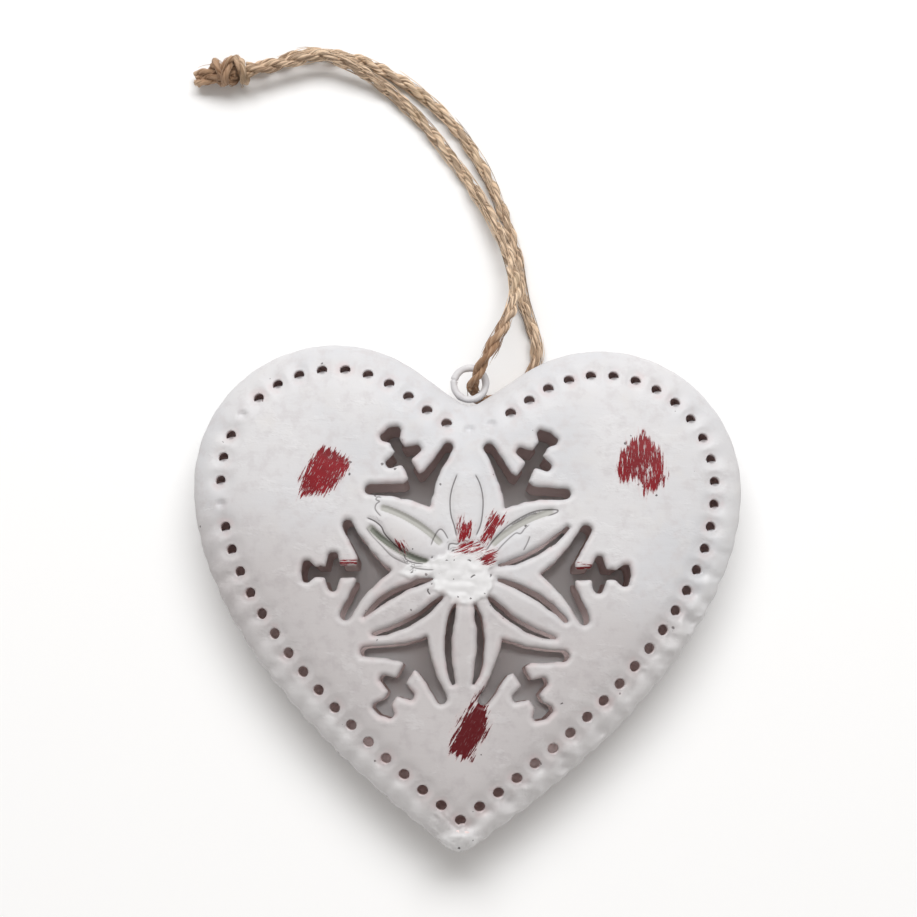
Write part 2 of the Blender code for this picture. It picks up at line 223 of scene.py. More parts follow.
def rounded(corners, steps=4):   # corners are (x, y, radius), each turned into an arc
    result = []
    for i, (x, y, radius) in enumerate(corners):
        here = np.array([x, y])
        back = np.array(corners[i - 1][:2]) - here
        ahead = np.array(corners[(i + 1) % len(corners)][:2]) - here
        room = min(np.linalg.norm(back), np.linalg.norm(ahead)) / 2
        if radius <= 0 or room < 1e-6:
            result.append(here)
            continue
        back /= np.linalg.norm(back)
        ahead /= np.linalg.norm(ahead)
        opening = math.acos(max(-1.0, min(1.0, float(back @ ahead))))
        reach = min(room, radius / max(math.tan(opening / 2), 1e-3))
        for k in range(steps + 1):
            t = k / steps
            result.append(here + back * reach * (1 - t) ** 2 + ahead * reach * t ** 2)
    return np.array(result)


def onFlower(points, degrees):
    ray, across = polar(1.0, degrees), polar(1.0, degrees + 90)
    return middle + points[:, :1] * ray + points[:, 1:2] * across


def treeLoop(degrees):
    t = tree
    armEnd = np.array(t["armEnd"])
    innerEnd = armEnd + polar(t["armHalf"], t["armAngle"] + 90)
    edge = arcThrough(np.array([t["apex"], 0.0]), np.array(t["edge"]), innerEnd, 8)
    side = [(p[0], p[1], 0.0) for p in edge[1:]]
    side += [(*(armEnd + polar(t["armHalf"], t["armAngle"] + a)), 0.0) for a in (60, 30, 0, -30, -60, -90)]
    drift, r = t["lean"][degrees], t["round"]
    (budIn, budOut), (headIn, headMid, headEnd) = t["bud"], t["head"]
    (tongueAt, tongueHalf), (tipIn, tipOut, tipHalf) = t["tongue"], t["budTip"]
    stem = (   # along, half width, share of the drift, rounding
        (tongueAt, tongueHalf, 0.0, r), (tongueAt, t["stemHalf"], 0.5, r), (budIn, t["stemHalf"], 1.0, r),
        (tipIn, tipHalf, 1.0, r * 1.6), (tipOut, tipHalf, 1.0, r * 1.6), (budOut, t["neckHalf"], 1.0, r),
        (headIn, t["neckHalf"], 1.0, r), (headMid, t["headHalf"], 1.0, r),
        (headEnd - t["shoulder"], t["headHalf"], 1.0, r * 1.4))
    sides = []
    for sign in (1, -1):
        sides.append([(x, sign * y, radius) for x, y, radius in side])
        sides[-1] += [(x, sign * y + drift * share, radius) for x, y, share, radius in stem]
    corners = [(t["apex"], 0.0, 0.3)] + sides[0] + [(headEnd, drift, 0.6)] + sides[1][::-1]
    return onFlower(rounded(corners), degrees)


def slotMiddles(degrees, side, count=12):   # the slot's middle line
    shift = side * leaf["slot"] / 2
    arc = arcThrough(np.array([leaf["start"], side * leaf["tipHalf"] + shift * 0.5]),
                     np.array([leaf["middle"], side * leaf["half"] + shift]),
                     np.array([leaf["end"], side * leaf["tipHalf"] + shift * 0.5]), count)
    return np.array(arc)


def slotLoop(degrees, side):
    line = slotMiddles(degrees, side, 16)
    share = np.linspace(0, 1, len(line))
    blunt = np.sqrt(np.clip(1 - (2 * share - 1) ** 6, 0.12, 1))
    wide = leaf["slot"] / 2 * blunt * (0.72 + 0.28 * np.sin(share * math.pi))
    along = np.gradient(line, axis=0)
    along /= np.linalg.norm(along, axis=1)[:, None]
    normal = np.stack([-along[:, 1], along[:, 0]], axis=1)
    loop = np.vstack([line + normal * wide[:, None], (line - normal * wide[:, None])[::-1]])
    return onFlower(loop, degrees)


trees = [treeLoop(60 * i) for i in range(6)]
slots = {(60 * i + 30, side): slotLoop(60 * i + 30, side) for i in range(6) for side in (-1, 1)}
print("snowflake drawn")


def loopDistance(points, loop, reach=4.0):   # distance to a closed loop, below nought inside it
    result = np.full(len(points), reach)
    low, high = loop.min(axis=0) - reach, loop.max(axis=0) + reach
    near = np.flatnonzero(((points > low) & (points < high)).all(axis=1))
    x, y = points[near, 0], points[near, 1]
    best = np.full(len(near), 1e9)
    inside = np.zeros(len(near), bool)
    for (ax, ay), (bx, by) in zip(loop, np.roll(loop, -1, axis=0)):
        ex, ey = bx - ax, by - ay
        share = np.clip(((x - ax) * ex + (y - ay) * ey) / max(ex * ex + ey * ey, 1e-12), 0, 1)
        best = np.minimum(best, (x - ax - ex * share) ** 2 + (y - ay - ey * share) ** 2)
        if ay != by:
            inside ^= ((ay > y) != (by > y)) & (x < ex * (y - ay) / ey + ax)
    result[near] = np.minimum(np.sqrt(best), reach) * np.where(inside, -1, 1)
    return result


def lineDistance(points, line):   # distance to an open line, and which side of it
    best = np.full(len(points), 1e9)
    side = np.zeros(len(points))
    share = np.zeros(len(points))
    count = len(line) - 1
    for i in range(count):
        a, b = line[i], line[i + 1]
        e = b - a
        w = points - a
        t = np.clip((w @ e) / (e @ e), 0, 1)
        d = np.linalg.norm(w - t[:, None] * e, axis=1)
        closer = d < best
        best[closer] = d[closer]
        side[closer] = np.sign(e[0] * w[closer, 1] - e[1] * w[closer, 0])
        share[closer] = (i + t[closer]) / count
    return best, side, share


def holeDistance(points, at, radius, lip):   # lip points to the side it is on, as long as the share it covers
    away = np.linalg.norm(points - at, axis=1) - radius
    share = np.linalg.norm(lip)
    if share == 0:
        return away
    beyond = at + lip / share * 2 * radius * (1 - share)
    return np.maximum(away, radius - np.linalg.norm(points - beyond, axis=1))


def ripple(points, size, seed, octaves=1):   # smooth noise between -1 and 1
    total = np.zeros(len(points))
    for k in range(octaves):
        lattice = np.random.default_rng(seed + k).uniform(-1, 1, (64, 64))
        q = points / size * 2 ** k + 500.37
        cell = np.floor(q).astype(int)
        f = q - cell
        f = f * f * (3 - 2 * f)
        x0, y0 = cell[:, 0] % 64, cell[:, 1] % 64
        x1, y1 = (x0 + 1) % 64, (y0 + 1) % 64
        low = lattice[x0, y0] * (1 - f[:, 0]) + lattice[x1, y0] * f[:, 0]
        high = lattice[x0, y1] * (1 - f[:, 0]) + lattice[x1, y1] * f[:, 0]
        total += (low * (1 - f[:, 1]) + high * f[:, 1]) / 2 ** k
    return total


def smooth(x, low, high):
    t = np.clip((x - low) / (high - low), 0, 1)
    return t * t * (3 - 2 * t)


def within(x, low, full, stillFull, high):   # rises to one and falls again
    return smooth(x, low, full) * (1 - smooth(x, stillFull, high))


def bell(x, width, at=0.0):
    return np.exp(-((x - at) / width) ** 2)


rimTurns = np.arctan2(outline[:, 1] - middle[1], outline[:, 0] - middle[0])
rimReach = np.linalg.norm(outline - middle, axis=1)
rimOrder = np.argsort(rimTurns)
allHoles = np.vstack([rightHoles, tipHole[None], leftHoles, topHole[None]])


def dome(points):   # share of the way out to the rim, rise, the surface's lean, and the way outwards
    away = points - middle
    reach = np.linalg.norm(away, axis=1)
    turn = np.arctan2(away[:, 1], away[:, 0])
    rim = np.interp(turn, rimTurns[rimOrder], rimReach[rimOrder], period=math.tau)
    flat = heart["flatShare"]
    inward = np.clip((1 - reach / rim) / (1 - flat), 0, 1)
    sine = np.sqrt(np.clip(1 - (1 - inward) ** 2, 0, 1))
    run = (1 - flat) * rim
    lean = np.stack([heart["domeDepth"] * (1 - inward), run * sine], axis=1)
    lean /= np.linalg.norm(lean, axis=1)[:, None]
    ray = away / np.maximum(reach, 1e-6)[:, None]
    return reach / rim, heart["domeDepth"] * sine, np.column_stack([ray * lean[:, :1], lean[:, 1]]), ray


# One pierced and domed half: its sheet is cut from a grid that is finer along every edge
shell = {
    "cell": 0.9, "bands": (2.3, 0.69), "rimBand": 5.6, "flowerBand": 19.0, "snap": 0.1,
    "lipRadius": 1.05, "lipDrop": 0.72, "dimple": 0.46, "dimpleReach": 1.05,
    "top": 0.15, "crown": 1.5,          # how far the face starts below the solid's, and falls outwards
    "wave": 0.06, "fineWave": 0.04, "backWave": 0.03, "ceiling": 15.4,
    "wobble": 0.13, "bead": 0.04,       # the cut edges' unevenness, and the bead of paint along them
    "hubRise": 0.3, "hubCrust": 0.1,
    "tipAt": (0.0, -39.3), "tipReach": (3.8, 1.75), "tipRise": 1.2,      # the clot of paint on the tip
}
# The beaten rim: a band is where it starts, is full, is full still and ends, in mm inwards
hem = {
    "reach": 14.0, "holePitch": 3.4, "dent": 0.3, "dentWidth": 0.95, "dentBand": (0.2, 1.2, 3.2, 5.2),
    "crumple": 1.25, "crumpleBand": (-0.1, 0.7, 2.6, 4.6), "wave": 0.26, "waveWidth": 0.8, "jitter": 0.14,
    # the lighter, thicker paint along the lower rim, partly painted light that lifts the rim where the dome's
    # fall shades it
    "paint": 0.6,
}
farAway = 9.0            # mm, where nothing is near
# The clot of paint over the flower's middle
hubPaint = np.array([
    (-11.3, 3.0), (-10.5, 1.9), (-8.6, 2.4), (-5.6, 2.7), (-5.2, 1.5), (-5.8, 0.1), (-4.4, -0.3),
    (-3.0, -0.2), (-2.1, -1.4), (-1.2, -2.2), (0.7, -2.0), (2.0, -1.5), (3.3, -0.7), (4.2, 0.9),
    (4.5, 2.2), (4.1, 3.5), (4.9, 4.9), (4.4, 6.5), (2.8, 7.4), (0.5, 7.2), (-1.4, 6.6), (-3.0, 6.8),
    (-4.9, 5.8), (-6.7, 4.8), (-9.3, 4.6)])
# Cracks and wrinkles where paint has closed a slot: depth, width and darkness, then the points
creases = (
    (0.2, 0.34, 0.75, ((-1.7, 19.3), (-2.5, 16.9), (-2.8, 14.8), (-2.6, 12.5), (-2.0, 10.6), (-1.6, 8.9))),
    (0.2, 0.34, 0.75, ((1.1, 19.2), (1.9, 17.7), (2.4, 15.8), (2.5, 13.7), (2.2, 11.1), (1.4, 9.0))),
    (0.14, 0.3, 0.7, ((2.9, 6.5), (4.1, 8.3), (5.5, 9.9), (7.2, 11.4), (9.9, 13.0), (12.0, 13.6),
                      (14.3, 13.7), (14.5, 13.4), (14.0, 13.1), (12.7, 12.6))),
    (0.12, 0.3, 0.6, ((4.8, 6.7), (5.9, 8.0), (7.1, 9.2), (7.9, 9.8), (8.6, 9.7), (9.3, 10.6), (10.0, 11.2))),
    (0.08, 0.25, 0.6, ((10.1, 9.3), (9.7, 8.2), (9.1, 7.0))),
    (0.1, 0.25, 0.55, ((7.0, 11.0), (8.6, 11.9), (9.9, 12.7), (11.3, 13.1))),
    (0.12, 0.28, 0.6, ((-13.8, 15.0), (-14.4, 15.2), (-14.7, 14.7), (-14.1, 14.4), (-14.6, 14.0),
                       (-14.8, 13.3), (-14.4, 12.6), (-13.7, 11.9))),
    (0.3, 0.35, 0.85, ((-16.2, 11.8), (-14.8, 11.2), (-13.7, 10.3), (-13.2, 9.3), (-12.3, 8.3), (-11.2, 7.3),
                       (-9.8, 6.2))),
    (-0.22, 0.3, 0.0, ((-16.2, 10.7), (-15.1, 9.3), (-13.6, 7.8), (-12.0, 6.2), (-10.5, 5.3), (-8.9, 4.8))),
    (0.12, 0.22, 0.45, ((-16.2, 10.2), (-15.1, 8.8), (-13.6, 7.3), (-12.0, 5.7), (-10.5, 4.9), (-8.9, 4.3))),
    (0.15, 0.25, 0.75, ((-10.0, 6.1), (-9.6, 5.2), (-8.4, 4.7), (-6.8, 4.5))),
    (0.12, 0.25, 0.6, ((-8.9, 4.1), (-8.0, 3.8), (-6.4, 3.6), (-5.1, 3.6))),
    (0.12, 0.28, 0.65, ((-5.7, 7.4), (-5.2, 8.9), (-4.4, 10.1), (-3.7, 9.8), (-2.9, 8.5))),
    (0.15, 0.28, 0.7, ((-2.9, 6.7), (-2.7, 7.8), (-1.5, 7.8), (-1.2, 8.0))),
)
# Chips of dark in the clot: place, length and lean
chips = (
    (-2.1, 6.7, 0.5, 20), (0.5, 5.15, 0.6, -15), (1.1, 2.65, 0.9, 30), (3.9, 2.9, 0.5, 80),
    (-3.1, 5.1, 0.3, 0), (-5.5, 5.6, 0.4, 60), (-8.6, 3.1, 0.5, 30), (-5.8, 0.1, 0.9, -70), (2.3, 5.6, 0.35, 100))


def smoothLine(points, steps=6):   # a rounded line through points in the plane
    p = [np.array(q, float) for q in points]
    ends = [p[0] * 2 - p[1]] + p + [p[-1] * 2 - p[-2]]
    line = []
    for a, b, c, d in zip(ends, ends[1:], ends[2:], ends[3:]):
        for i in range(steps):
            t = i / steps
            line.append(0.5 * (2 * b + (c - a) * t + (2 * a - 5 * b + 4 * c - d) * t * t
                               + (3 * b - a - 3 * c + d) * t ** 3))
    return np.array(line + [p[-1]])


creaseLines = [(depth, width, dark, smoothLine(points)) for depth, width, dark, points in creases]
for chipX, chipY, length, lean in chips:
    start, bend = np.array([chipX, chipY]), polar(length / 2, lean)
    creaseLines.append((0.2, 0.3, 0.9, smoothLine((start - bend, start + bend[::-1] * 0.5, start + bend), 3)))
closedLines = {key: onFlower(slotMiddles(*key), key[0]) for key in leaf["closed"]}
rimLine = evenly(np.vstack([outline, outline[:1]]), 400)


def materialDistance(points, loops, punched, reach=4.0):   # above nought on metal, below it elsewhere
    cut = np.full(len(points), reach)
    for loop in loops:
        cut = np.minimum(cut, loopDistance(points, loop, reach))
    cut += shell["wobble"] * ripple(points, 1.7, 91, 2)
    for at, radius, lip in punched:
        near = np.flatnonzero(np.abs(points - at).max(axis=1) < radius + reach)
        cut[near] = np.minimum(cut[near], holeDistance(points[near], at, radius, lip))
    return np.minimum(-loopDistance(points, outline, reach), cut), cut


def places(bm):
    bm.verts.index_update()
    return np.array([v.co.xy for v in bm.verts])


def cutSheet(loops, punched, wanted):
    def metalAt(spots):
        return materialDistance(spots, loops, punched)[0]

    def slope(spots, step=0.02):
        gx = metalAt(spots + (step, 0)) - metalAt(spots - (step, 0))
        gy = metalAt(spots + (0, step)) - metalAt(spots - (0, step))
        return np.stack([gx, gy], axis=1) / (2 * step)

    def pull(verts):   # moves them onto the edge
        spots = np.array([v.co.xy for v in verts])
        for _ in range(2):
            spots = spots - slope(spots) * metalAt(spots)[:, None]
        for v, (x, y) in zip(verts, spots):
            v.co.x, v.co.y = x, y

    bm = bmesh.new()
    wide, tall = heart["width"] / 2 + 1.5, heart["height"] / 2 + 1.5
    across, up = round(2 * wide / shell["cell"]), round(2 * tall / shell["cell"])
    bmesh.ops.create_grid(bm, x_segments=across, y_segments=up, size=1.0)
    bmesh.ops.scale(bm, vec=(wide, tall, 1.0), verts=bm.verts)
    spots = places(bm)
    metal = metalAt(spots)
    gone = [f for f in bm.faces if max(metal[v.index] for v in f.verts) < -1.6 * shell["cell"]]
    bmesh.ops.delete(bm, geom=gone, context="FACES")
    for level, band in enumerate(shell["bands"]):
        spots = places(bm)
        fine = (np.abs(metalAt(spots)) < band) | wanted(spots, level)
        chosen = {e for f in bm.faces if any(fine[v.index] for v in f.verts) for e in f.edges}
        bmesh.ops.subdivide_edges(bm, edges=list(chosen), cuts=1, use_grid_fill=True)
    metal = metalAt(places(bm))
    bm.verts.ensure_lookup_table()
    close = [bm.verts[i] for i in np.flatnonzero(np.abs(metal) < shell["snap"])]
    pull(close)
    for v in close:
        metal[v.index] = 0.0
    level = {v: metal[v.index] for v in bm.verts}
    fresh = []
    for e in [e for e in bm.edges if level[e.verts[0]] * level[e.verts[1]] < 0]:
        a, b = e.verts
        made = bmesh.utils.edge_split(e, a, level[a] / (level[a] - level[b]))[1]
        level[made] = 0.0
        fresh.append(made)
    pull(fresh)
    bmesh.ops.connect_verts(bm, verts=[v for v in bm.verts if level[v] == 0.0])
    out = [f for f in bm.faces if min(level[v] for v in f.verts) < 0]
    onEdge = [f for f in bm.faces if all(level[v] == 0.0 for v in f.verts)]
    if onEdge:
        kept = metalAt(np.array([f.calc_center_median().xy for f in onEdge])) > 0
        out += [f for f, keep in zip(onEdge, kept) if not keep]
    bmesh.ops.delete(bm, geom=out, context="FACES")
    bmesh.ops.remove_doubles(bm, verts=bm.verts, dist=0.03)
    bmesh.ops.delete(bm, geom=[v for v in bm.verts if not v.link_faces], context="VERTS")
    return bm


def rimDistance(spots):
    return -loopDistance(spots, outline, hem["reach"])


def rimMarks(spots):   # how far in from the rim, and the place along the hole row
    rim = rimDistance(spots)
    phase = np.zeros(len(spots))
    near = np.flatnonzero(rim < shell["rimBand"] + 1)
    run = lineDistance(spots[near], rimLine)[2]
    phase[near] = np.interp(run, holeShares, np.arange(len(holeShares)), period=1.0)
    return rim, phase


holeShares = np.sort(lineDistance(allHoles, rimLine)[2])
dentLuck = np.random.default_rng(5).uniform(0.55, 1.25, len(holeShares) + 1)


def rimShape(spots, rim, phase, ray):   # the dents outward of the holes, the crumpled hem and its wavy edge
    v = hem
    lower = 0.3 + 0.7 * smooth(-spots[:, 1], -18.0, 2.0)      # stronger towards the tip
    uneven = 0.35 + 0.65 * smooth(spots[:, 0], -12.0, 8.0)    # and on the right
    off = (phase - np.round(phase)) * v["holePitch"]
    own = dentLuck[np.round(phase).astype(int) % len(dentLuck)]
    dent = bell(off, v["dentWidth"]) * within(rim, *v["dentBand"])
    dent = np.where(rim < shell["rimBand"], dent, 0) * v["dent"] * lower * own
    fold = np.abs(ripple(spots, 2.9, 55)) + 0.5 * np.abs(ripple(spots, 1.4, 56)) - 0.4
    dent += v["crumple"] * fold * within(rim, *v["crumpleBand"]) * np.maximum(lower - 0.25, 0.05) * uneven
    depth = np.maximum(rim, 0)
    edge = bell(off, v["waveWidth"]) * own * lower * np.exp(-depth)
    jitter = v["jitter"] * ripple(spots, 1.5, 77) * np.exp(-depth / v["waveWidth"])
    shift = -ray * (v["wave"] * edge + np.maximum(jitter, 0) * lower)[:, None]
    return dent, shift


def lipDepth(cut):   # a cut edge rolls over into its opening
    near = np.clip(cut / shell["lipRadius"], 0, 1)
    return shell["lipDrop"] * (1 - np.sqrt(1 - (1 - near) ** 2))


def walls(spots, height, top, normal):   # the outer skin and the inner one, neither past the seam
    outer = np.column_stack([spots, np.clip(height, heart["seamZ"], top)])
    inner = outer - normal * heart["sheet"]
    inner[:, 2] = np.maximum(inner[:, 2], heart["seamZ"])
    return outer, inner


def holeDents(spots):   # the sunk edges of open holes and the dimples of painted ones, and the distance
    hole = np.full(len(spots), farAway)
    for at, radius, lip in frontHoles:
        close = np.flatnonzero(np.abs(spots - at).max(axis=1) < 5)
        hole[close] = np.minimum(hole[close], np.linalg.norm(spots[close] - at, axis=1) - radius)
    down = shell["dimple"] * bell(np.maximum(hole, 0), shell["dimpleReach"])
    down += shell["lipDrop"] * smooth(-hole, 0.0, 0.6)
    for at in closedHoles:
        away = np.linalg.norm((spots - at) / (1.0, 0.8), axis=1)
        down += 0.55 * (1 - smooth(away, 0.35, 1.0)) - 0.12 * bell(away, 0.35, 1.25)
    return down, hole


def petalRise(spots):   # each petal is crowned along its middle
    local = spots - middle
    lift = np.zeros(len(spots))
    for degrees in range(30, 390, 60):
        along, across = local @ polar(1.0, degrees), local @ polar(1.0, degrees + 90)
        bulge = np.clip(1 - (across / (leaf["half"] + 0.45)) ** 2, 0, 1)
        lift += leaf["crown"] * bulge * within(along, 4.0, 7.0, 15.0, 18.5)
    return lift


def closedSlots(spots):   # how far the paint has sunk into them, and how much painted shade, tinted olive, lies in them
    down, slotShade = np.zeros(len(spots)), np.zeros(len(spots))
    for key, line in closedLines.items():
        away, _, run = lineDistance(spots, line)
        deep = leaf["closed"][key] * within(run, 0.0, 0.1, 0.88, 1.0)
        down += leaf["sunk"] * deep * bell(away, 0.52)
        slotShade = np.maximum(slotShade, (1 - smooth(away, 0.4, 0.68)) * deep)
    return down, slotShade


def cracks(spots):   # their depth, the distance to the nearest dark one with its side, and how dark it is
    down, fade = np.zeros(len(spots)), np.zeros(len(spots))
    seam, nearest = np.full(len(spots), farAway), np.full(len(spots), farAway)
    for depth, width, dark, line in creaseLines:
        reach = np.ptp(line, axis=0) / 2 + 2.5
        close = np.flatnonzero((np.abs(spots - line.mean(axis=0)) < reach).all(axis=1))
        away, side, run = lineDistance(spots[close], line)
        ends = within(run, 0.0, 0.06, 0.94, 1.0)
        down[close] += depth * bell(away, width) * ends
        if dark > 0:
            closer = away < nearest[close]
            spot = close[closer]
            nearest[spot] = away[closer]
            seam[spot] = (away * np.where(side == 0, 1, side))[closer]
            fade[spot] = (dark * ends * (1 - smooth(away, 0.35, 0.7)))[closer]
    return down, seam, fade


def frontHeights(spots):
    v = shell
    share, rise, normal, ray = dome(spots)
    cut = materialDistance(spots, frontLoops, [])[1]
    rim, phase = rimMarks(spots)
    dent, shift = rimShape(spots, rim, phase, ray)
    punched, hole = holeDents(spots)
    sunk, slotShade = closedSlots(spots)
    cracked, seam, seamFade = cracks(spots)
    full = rise / heart["domeDepth"]
    lift = heart["seamZ"] + rise - (v["top"] + v["crown"] * share ** 2) * full ** 2 + petalRise(spots)
    lift += v["bead"] * (bell(cut, 0.34, 0.75) - 0.45 * bell(cut, 0.45, 1.55))
    lift += v["wave"] * ripple(spots, 9.0, 3, 2)
    lift += v["fineWave"] * ripple(spots, 2.6, 40, 2) * (1 - smooth(rim, 2.0, 7.0))
    clot = -loopDistance(spots, hubPaint, 4.0) + 0.45 * ripple(spots, 1.4, 21, 2)
    crust = smooth(clot, -0.15, 0.45)
    lumps = 2 * np.abs(ripple(spots, 1.5, 8)) + ripple(spots, 0.8, 9) - 0.9
    tip = 1 - smooth(np.linalg.norm((spots - v["tipAt"]) / v["tipReach"], axis=1), 0.65, 1.15)
    lift += crust * (v["hubRise"] + v["hubCrust"] * lumps) + v["tipRise"] * tip
    down = (lipDepth(cut) + dent + punched + sunk + cracked) * (1 - 0.35 * crust)
    outer, inner = walls(spots + shift, lift - down, v["ceiling"], normal)
    # partly thick paint, partly painted light: the lower rim is laid lighter where its steep fall would leave it
    # in shade
    low = smooth(0.35 * spots[:, 0] - spots[:, 1], -14.0, 6.0)
    thick = hem["paint"] * (1 - smooth(rim + 0.7 * ripple(spots, 2.2, 63, 2), 2.4, 4.2)) * low
    return outer, inner, {
        "cut": np.minimum(cut, hole), "crust": np.maximum(np.maximum(crust, tip), thick),
        "slotShade": slotShade * (1 - crust), "seam": seam, "seamFade": seamFade}


def backHeights(spots):   # its cut-outs and its flat, which the heart lies on, are as plain as stamped
    _, rise, normal, ray = dome(spots)
    cut = materialDistance(spots, backLoops, backHoles)[1]
    rim, phase = rimMarks(spots)
    dent, shift = rimShape(spots, rim, phase, ray)
    down = lipDepth(cut) + dent * 0.7
    down += shell["backWave"] * (1 + ripple(spots, 9.0, 60, 2)) * smooth(rise, 0, 5)
    outer, inner = walls(spots + shift, heart["seamZ"] + rise - down, 2 * heart["seamZ"], normal)
    none = np.zeros(len(spots))
    return outer, inner, {"cut": cut, "crust": none, "slotShade": none, "seam": none + farAway, "seamFade": none}


def finishMesh(name, mesh, material, nodeName):
    mesh.transform(Matrix.Scale(mm, 4))
    mesh.shade_smooth()
    mesh.materials.append(material)
    piece = placed(name, mesh)
    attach(piece, "root")
    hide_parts(nodeName)
    mesh.calc_loop_triangles()
    print(name, len(mesh.loop_triangles), "triangles")
    return piece


def makeShell(name, bm, heights, facing, marksOf, nodeName):
    spots = places(bm)
    outer, inner, marks = heights(spots)
    marks.update(marksOf(spots))
    twin = bm.verts.layers.int.new("twin")
    for i, v in enumerate(bm.verts):
        v[twin] = i
        v.co = outer[i]
    everything = bm.verts[:] + bm.edges[:] + bm.faces[:]
    made = bmesh.ops.extrude_face_region(bm, geom=everything, use_keep_orig=True)["geom"]
    for v in [g for g in made if isinstance(g, bmesh.types.BMVert)]:
        v.co = inner[v[twin]]
        v[twin] += len(spots)
    if facing < 0:
        bmesh.ops.scale(bm, vec=(1, 1, -1), verts=bm.verts)
        bmesh.ops.translate(bm, vec=(0, 0, 2 * heart["seamZ"]), verts=bm.verts)
    mesh = meshFrom(bm, name)
    index = np.zeros(len(mesh.vertices), np.int32)
    mesh.attributes["twin"].data.foreach_get("value", index)
    mesh.attributes.remove(mesh.attributes["twin"])
    fields = {key: values[index % len(spots)] for key, values in marks.items()}
    fields["inside"] = index >= len(spots)
    for key, values in fields.items():
        flat = values.ndim == 1
        field = mesh.attributes.new(key, "FLOAT" if flat else "FLOAT_VECTOR", "POINT")
        field.data.foreach_set("value" if flat else "vector", values.astype(np.float32).ravel())
    return finishMesh(name, mesh, whitePaint, nodeName)


# Worn patches, rubbed through to the red: the strokes' lean, how solid each is, how far its outline is let
# out, and the outline in mm
patches = {
    "left": (66.0, 0.95, 0.0, (
        (-24.6, 22.4), (-23.6, 23.2), (-21.8, 22.8), (-19.5, 21.3), (-19.4, 19.7), (-20.1, 18.0),
        (-21.2, 16.5), (-22.4, 15.6), (-24.2, 15.1), (-25.9, 15.1), (-27.4, 14.4), (-26.7, 16.4),
        (-27.2, 17.9), (-25.8, 20.0))),
    "right": (90.0, 0.7, 0.0, (
        (27.9, 27.3), (29.1, 26.2), (30.2, 24.7), (31.0, 23.6), (31.6, 21.4), (32.0, 19.5), (31.5, 18.2),
        (30.4, 17.5), (29.1, 17.2), (28.5, 16.4), (27.9, 18.1), (26.9, 19.2), (25.6, 18.7), (24.5, 18.4),
        (24.0, 20.6), (24.6, 23.2), (25.7, 25.1), (27.1, 26.1))),
    "bottom": (63.0, 1.3, 0.0, (
        (3.8, -14.3), (4.3, -14.7), (3.4, -17.0), (3.9, -18.5), (4.4, -19.7), (4.1, -20.9), (3.4, -22.7),
        (2.5, -24.5), (1.5, -26.0), (0.8, -26.3), (-0.8, -25.8), (-2.0, -25.2), (-1.9, -24.0), (-1.1, -21.9),
        (-0.3, -19.8), (0.6, -18.6), (2.6, -15.5))),
    "petalLeft": (80.0, 1.0, 0.2, (
        (-1.0, 12.0), (-0.6, 11.7), (0.4, 10.8), (0.6, 9.5), (-0.2, 8.3), (-1.0, 8.5), (-1.3, 10.4))),
    "petalRight": (60.0, 1.0, 0.2, (
        (4.2, 12.8), (5.8, 12.2), (5.5, 10.9), (4.2, 9.3), (3.0, 8.0), (2.2, 8.5), (3.1, 10.5), (3.5, 12.1))),
    "hubRim": (25.0, 0.6, 0.2, (
        (-2.0, 6.3), (-0.2, 7.9), (1.7, 8.2), (2.8, 7.2), (4.6, 6.9), (4.3, 5.2), (3.4, 5.0), (2.2, 6.0),
        (0.4, 6.4))),
    "leftEdge": (0.0, 0.3, 0.2, ((-20.4, 4.4), (-19.0, 4.9), (-17.0, 4.9), (-16.8, 4.4), (-18.5, 4.0))),
    "rightEdge": (0.0, 0.3, 0.2, ((17.4, 4.5), (18.6, 4.9), (20.2, 4.8), (20.2, 4.3), (18.4, 4.1))),
    "leafFleck": (120.0, 0.3, 0.2, ((-11.1, 8.0), (-10.3, 7.7), (-9.9, 6.8), (-10.5, 6.9), (-11.2, 7.4))),
}
unmarked = -4.0          # mm outside a patch, where nothing is worn
strokeShift = 7.3        # mm, so that no two patches show the same strokes


def unworn(spots):
    return {"worn": np.full(len(spots), unmarked), "stroke": np.zeros((len(spots), 3))}


def wearMarks(spots):   # how deep inside a patch, and the place across and along its strokes
    marks = unworn(spots)
    depth, stroke = marks["worn"], marks["stroke"]
    for i, (lean, solid, letOut, points) in enumerate(patches.values()):
        inside = np.minimum(-loopDistance(spots, np.array(points)) + letOut, solid)
        closer = inside > depth
        depth[closer] = inside[closer]
        along = spots[closer] @ polar(1.0, lean)
        across = spots[closer] @ polar(1.0, lean - 90)
        stroke[closer] = np.column_stack([across, along, np.full(len(along), i * strokeShift)])
    return marks


def feed(tree, value, target):   # a link from another node, or a fixed value
    if isinstance(value, bpy.types.NodeSocket):
        tree.links.new(value, target)
    else:
        target.default_value = (*value, 1) if isinstance(value, tuple) else value


def mixColour(tree, factor, first, second):
    mix = tree.nodes.new("ShaderNodeMix")
    mix.data_type = "RGBA"
    for name, value in (("Factor", factor), ("A", first), ("B", second)):
        feed(tree, value, [s for s in mix.inputs if s.name == name and s.enabled][0])
    return [s for s in mix.outputs if s.enabled][0]


def sums(tree, operation, *values, clamp=False):
    node = tree.nodes.new("ShaderNodeMath")
    node.operation = operation
    node.use_clamp = clamp
    for target, value in zip(node.inputs, values):
        feed(tree, value, target)
    return node.outputs[0]


def times(tree, first, second):
    return sums(tree, "MULTIPLY", first, second)


def tinted(tree, colour, mask, share, paint):   # the paint laid over a colour where the mask is
    return mixColour(tree, times(tree, mask, share), colour, paint)


def addBump(tree, shader, height, strength, distance):
    bump = tree.nodes.new("ShaderNodeBump")
    bump.inputs["Strength"].default_value = strength
    bump.inputs["Distance"].default_value = distance
    tree.links.new(height, bump.inputs["Height"])
    tree.links.new(bump.outputs["Normal"], shader.inputs["Normal"])


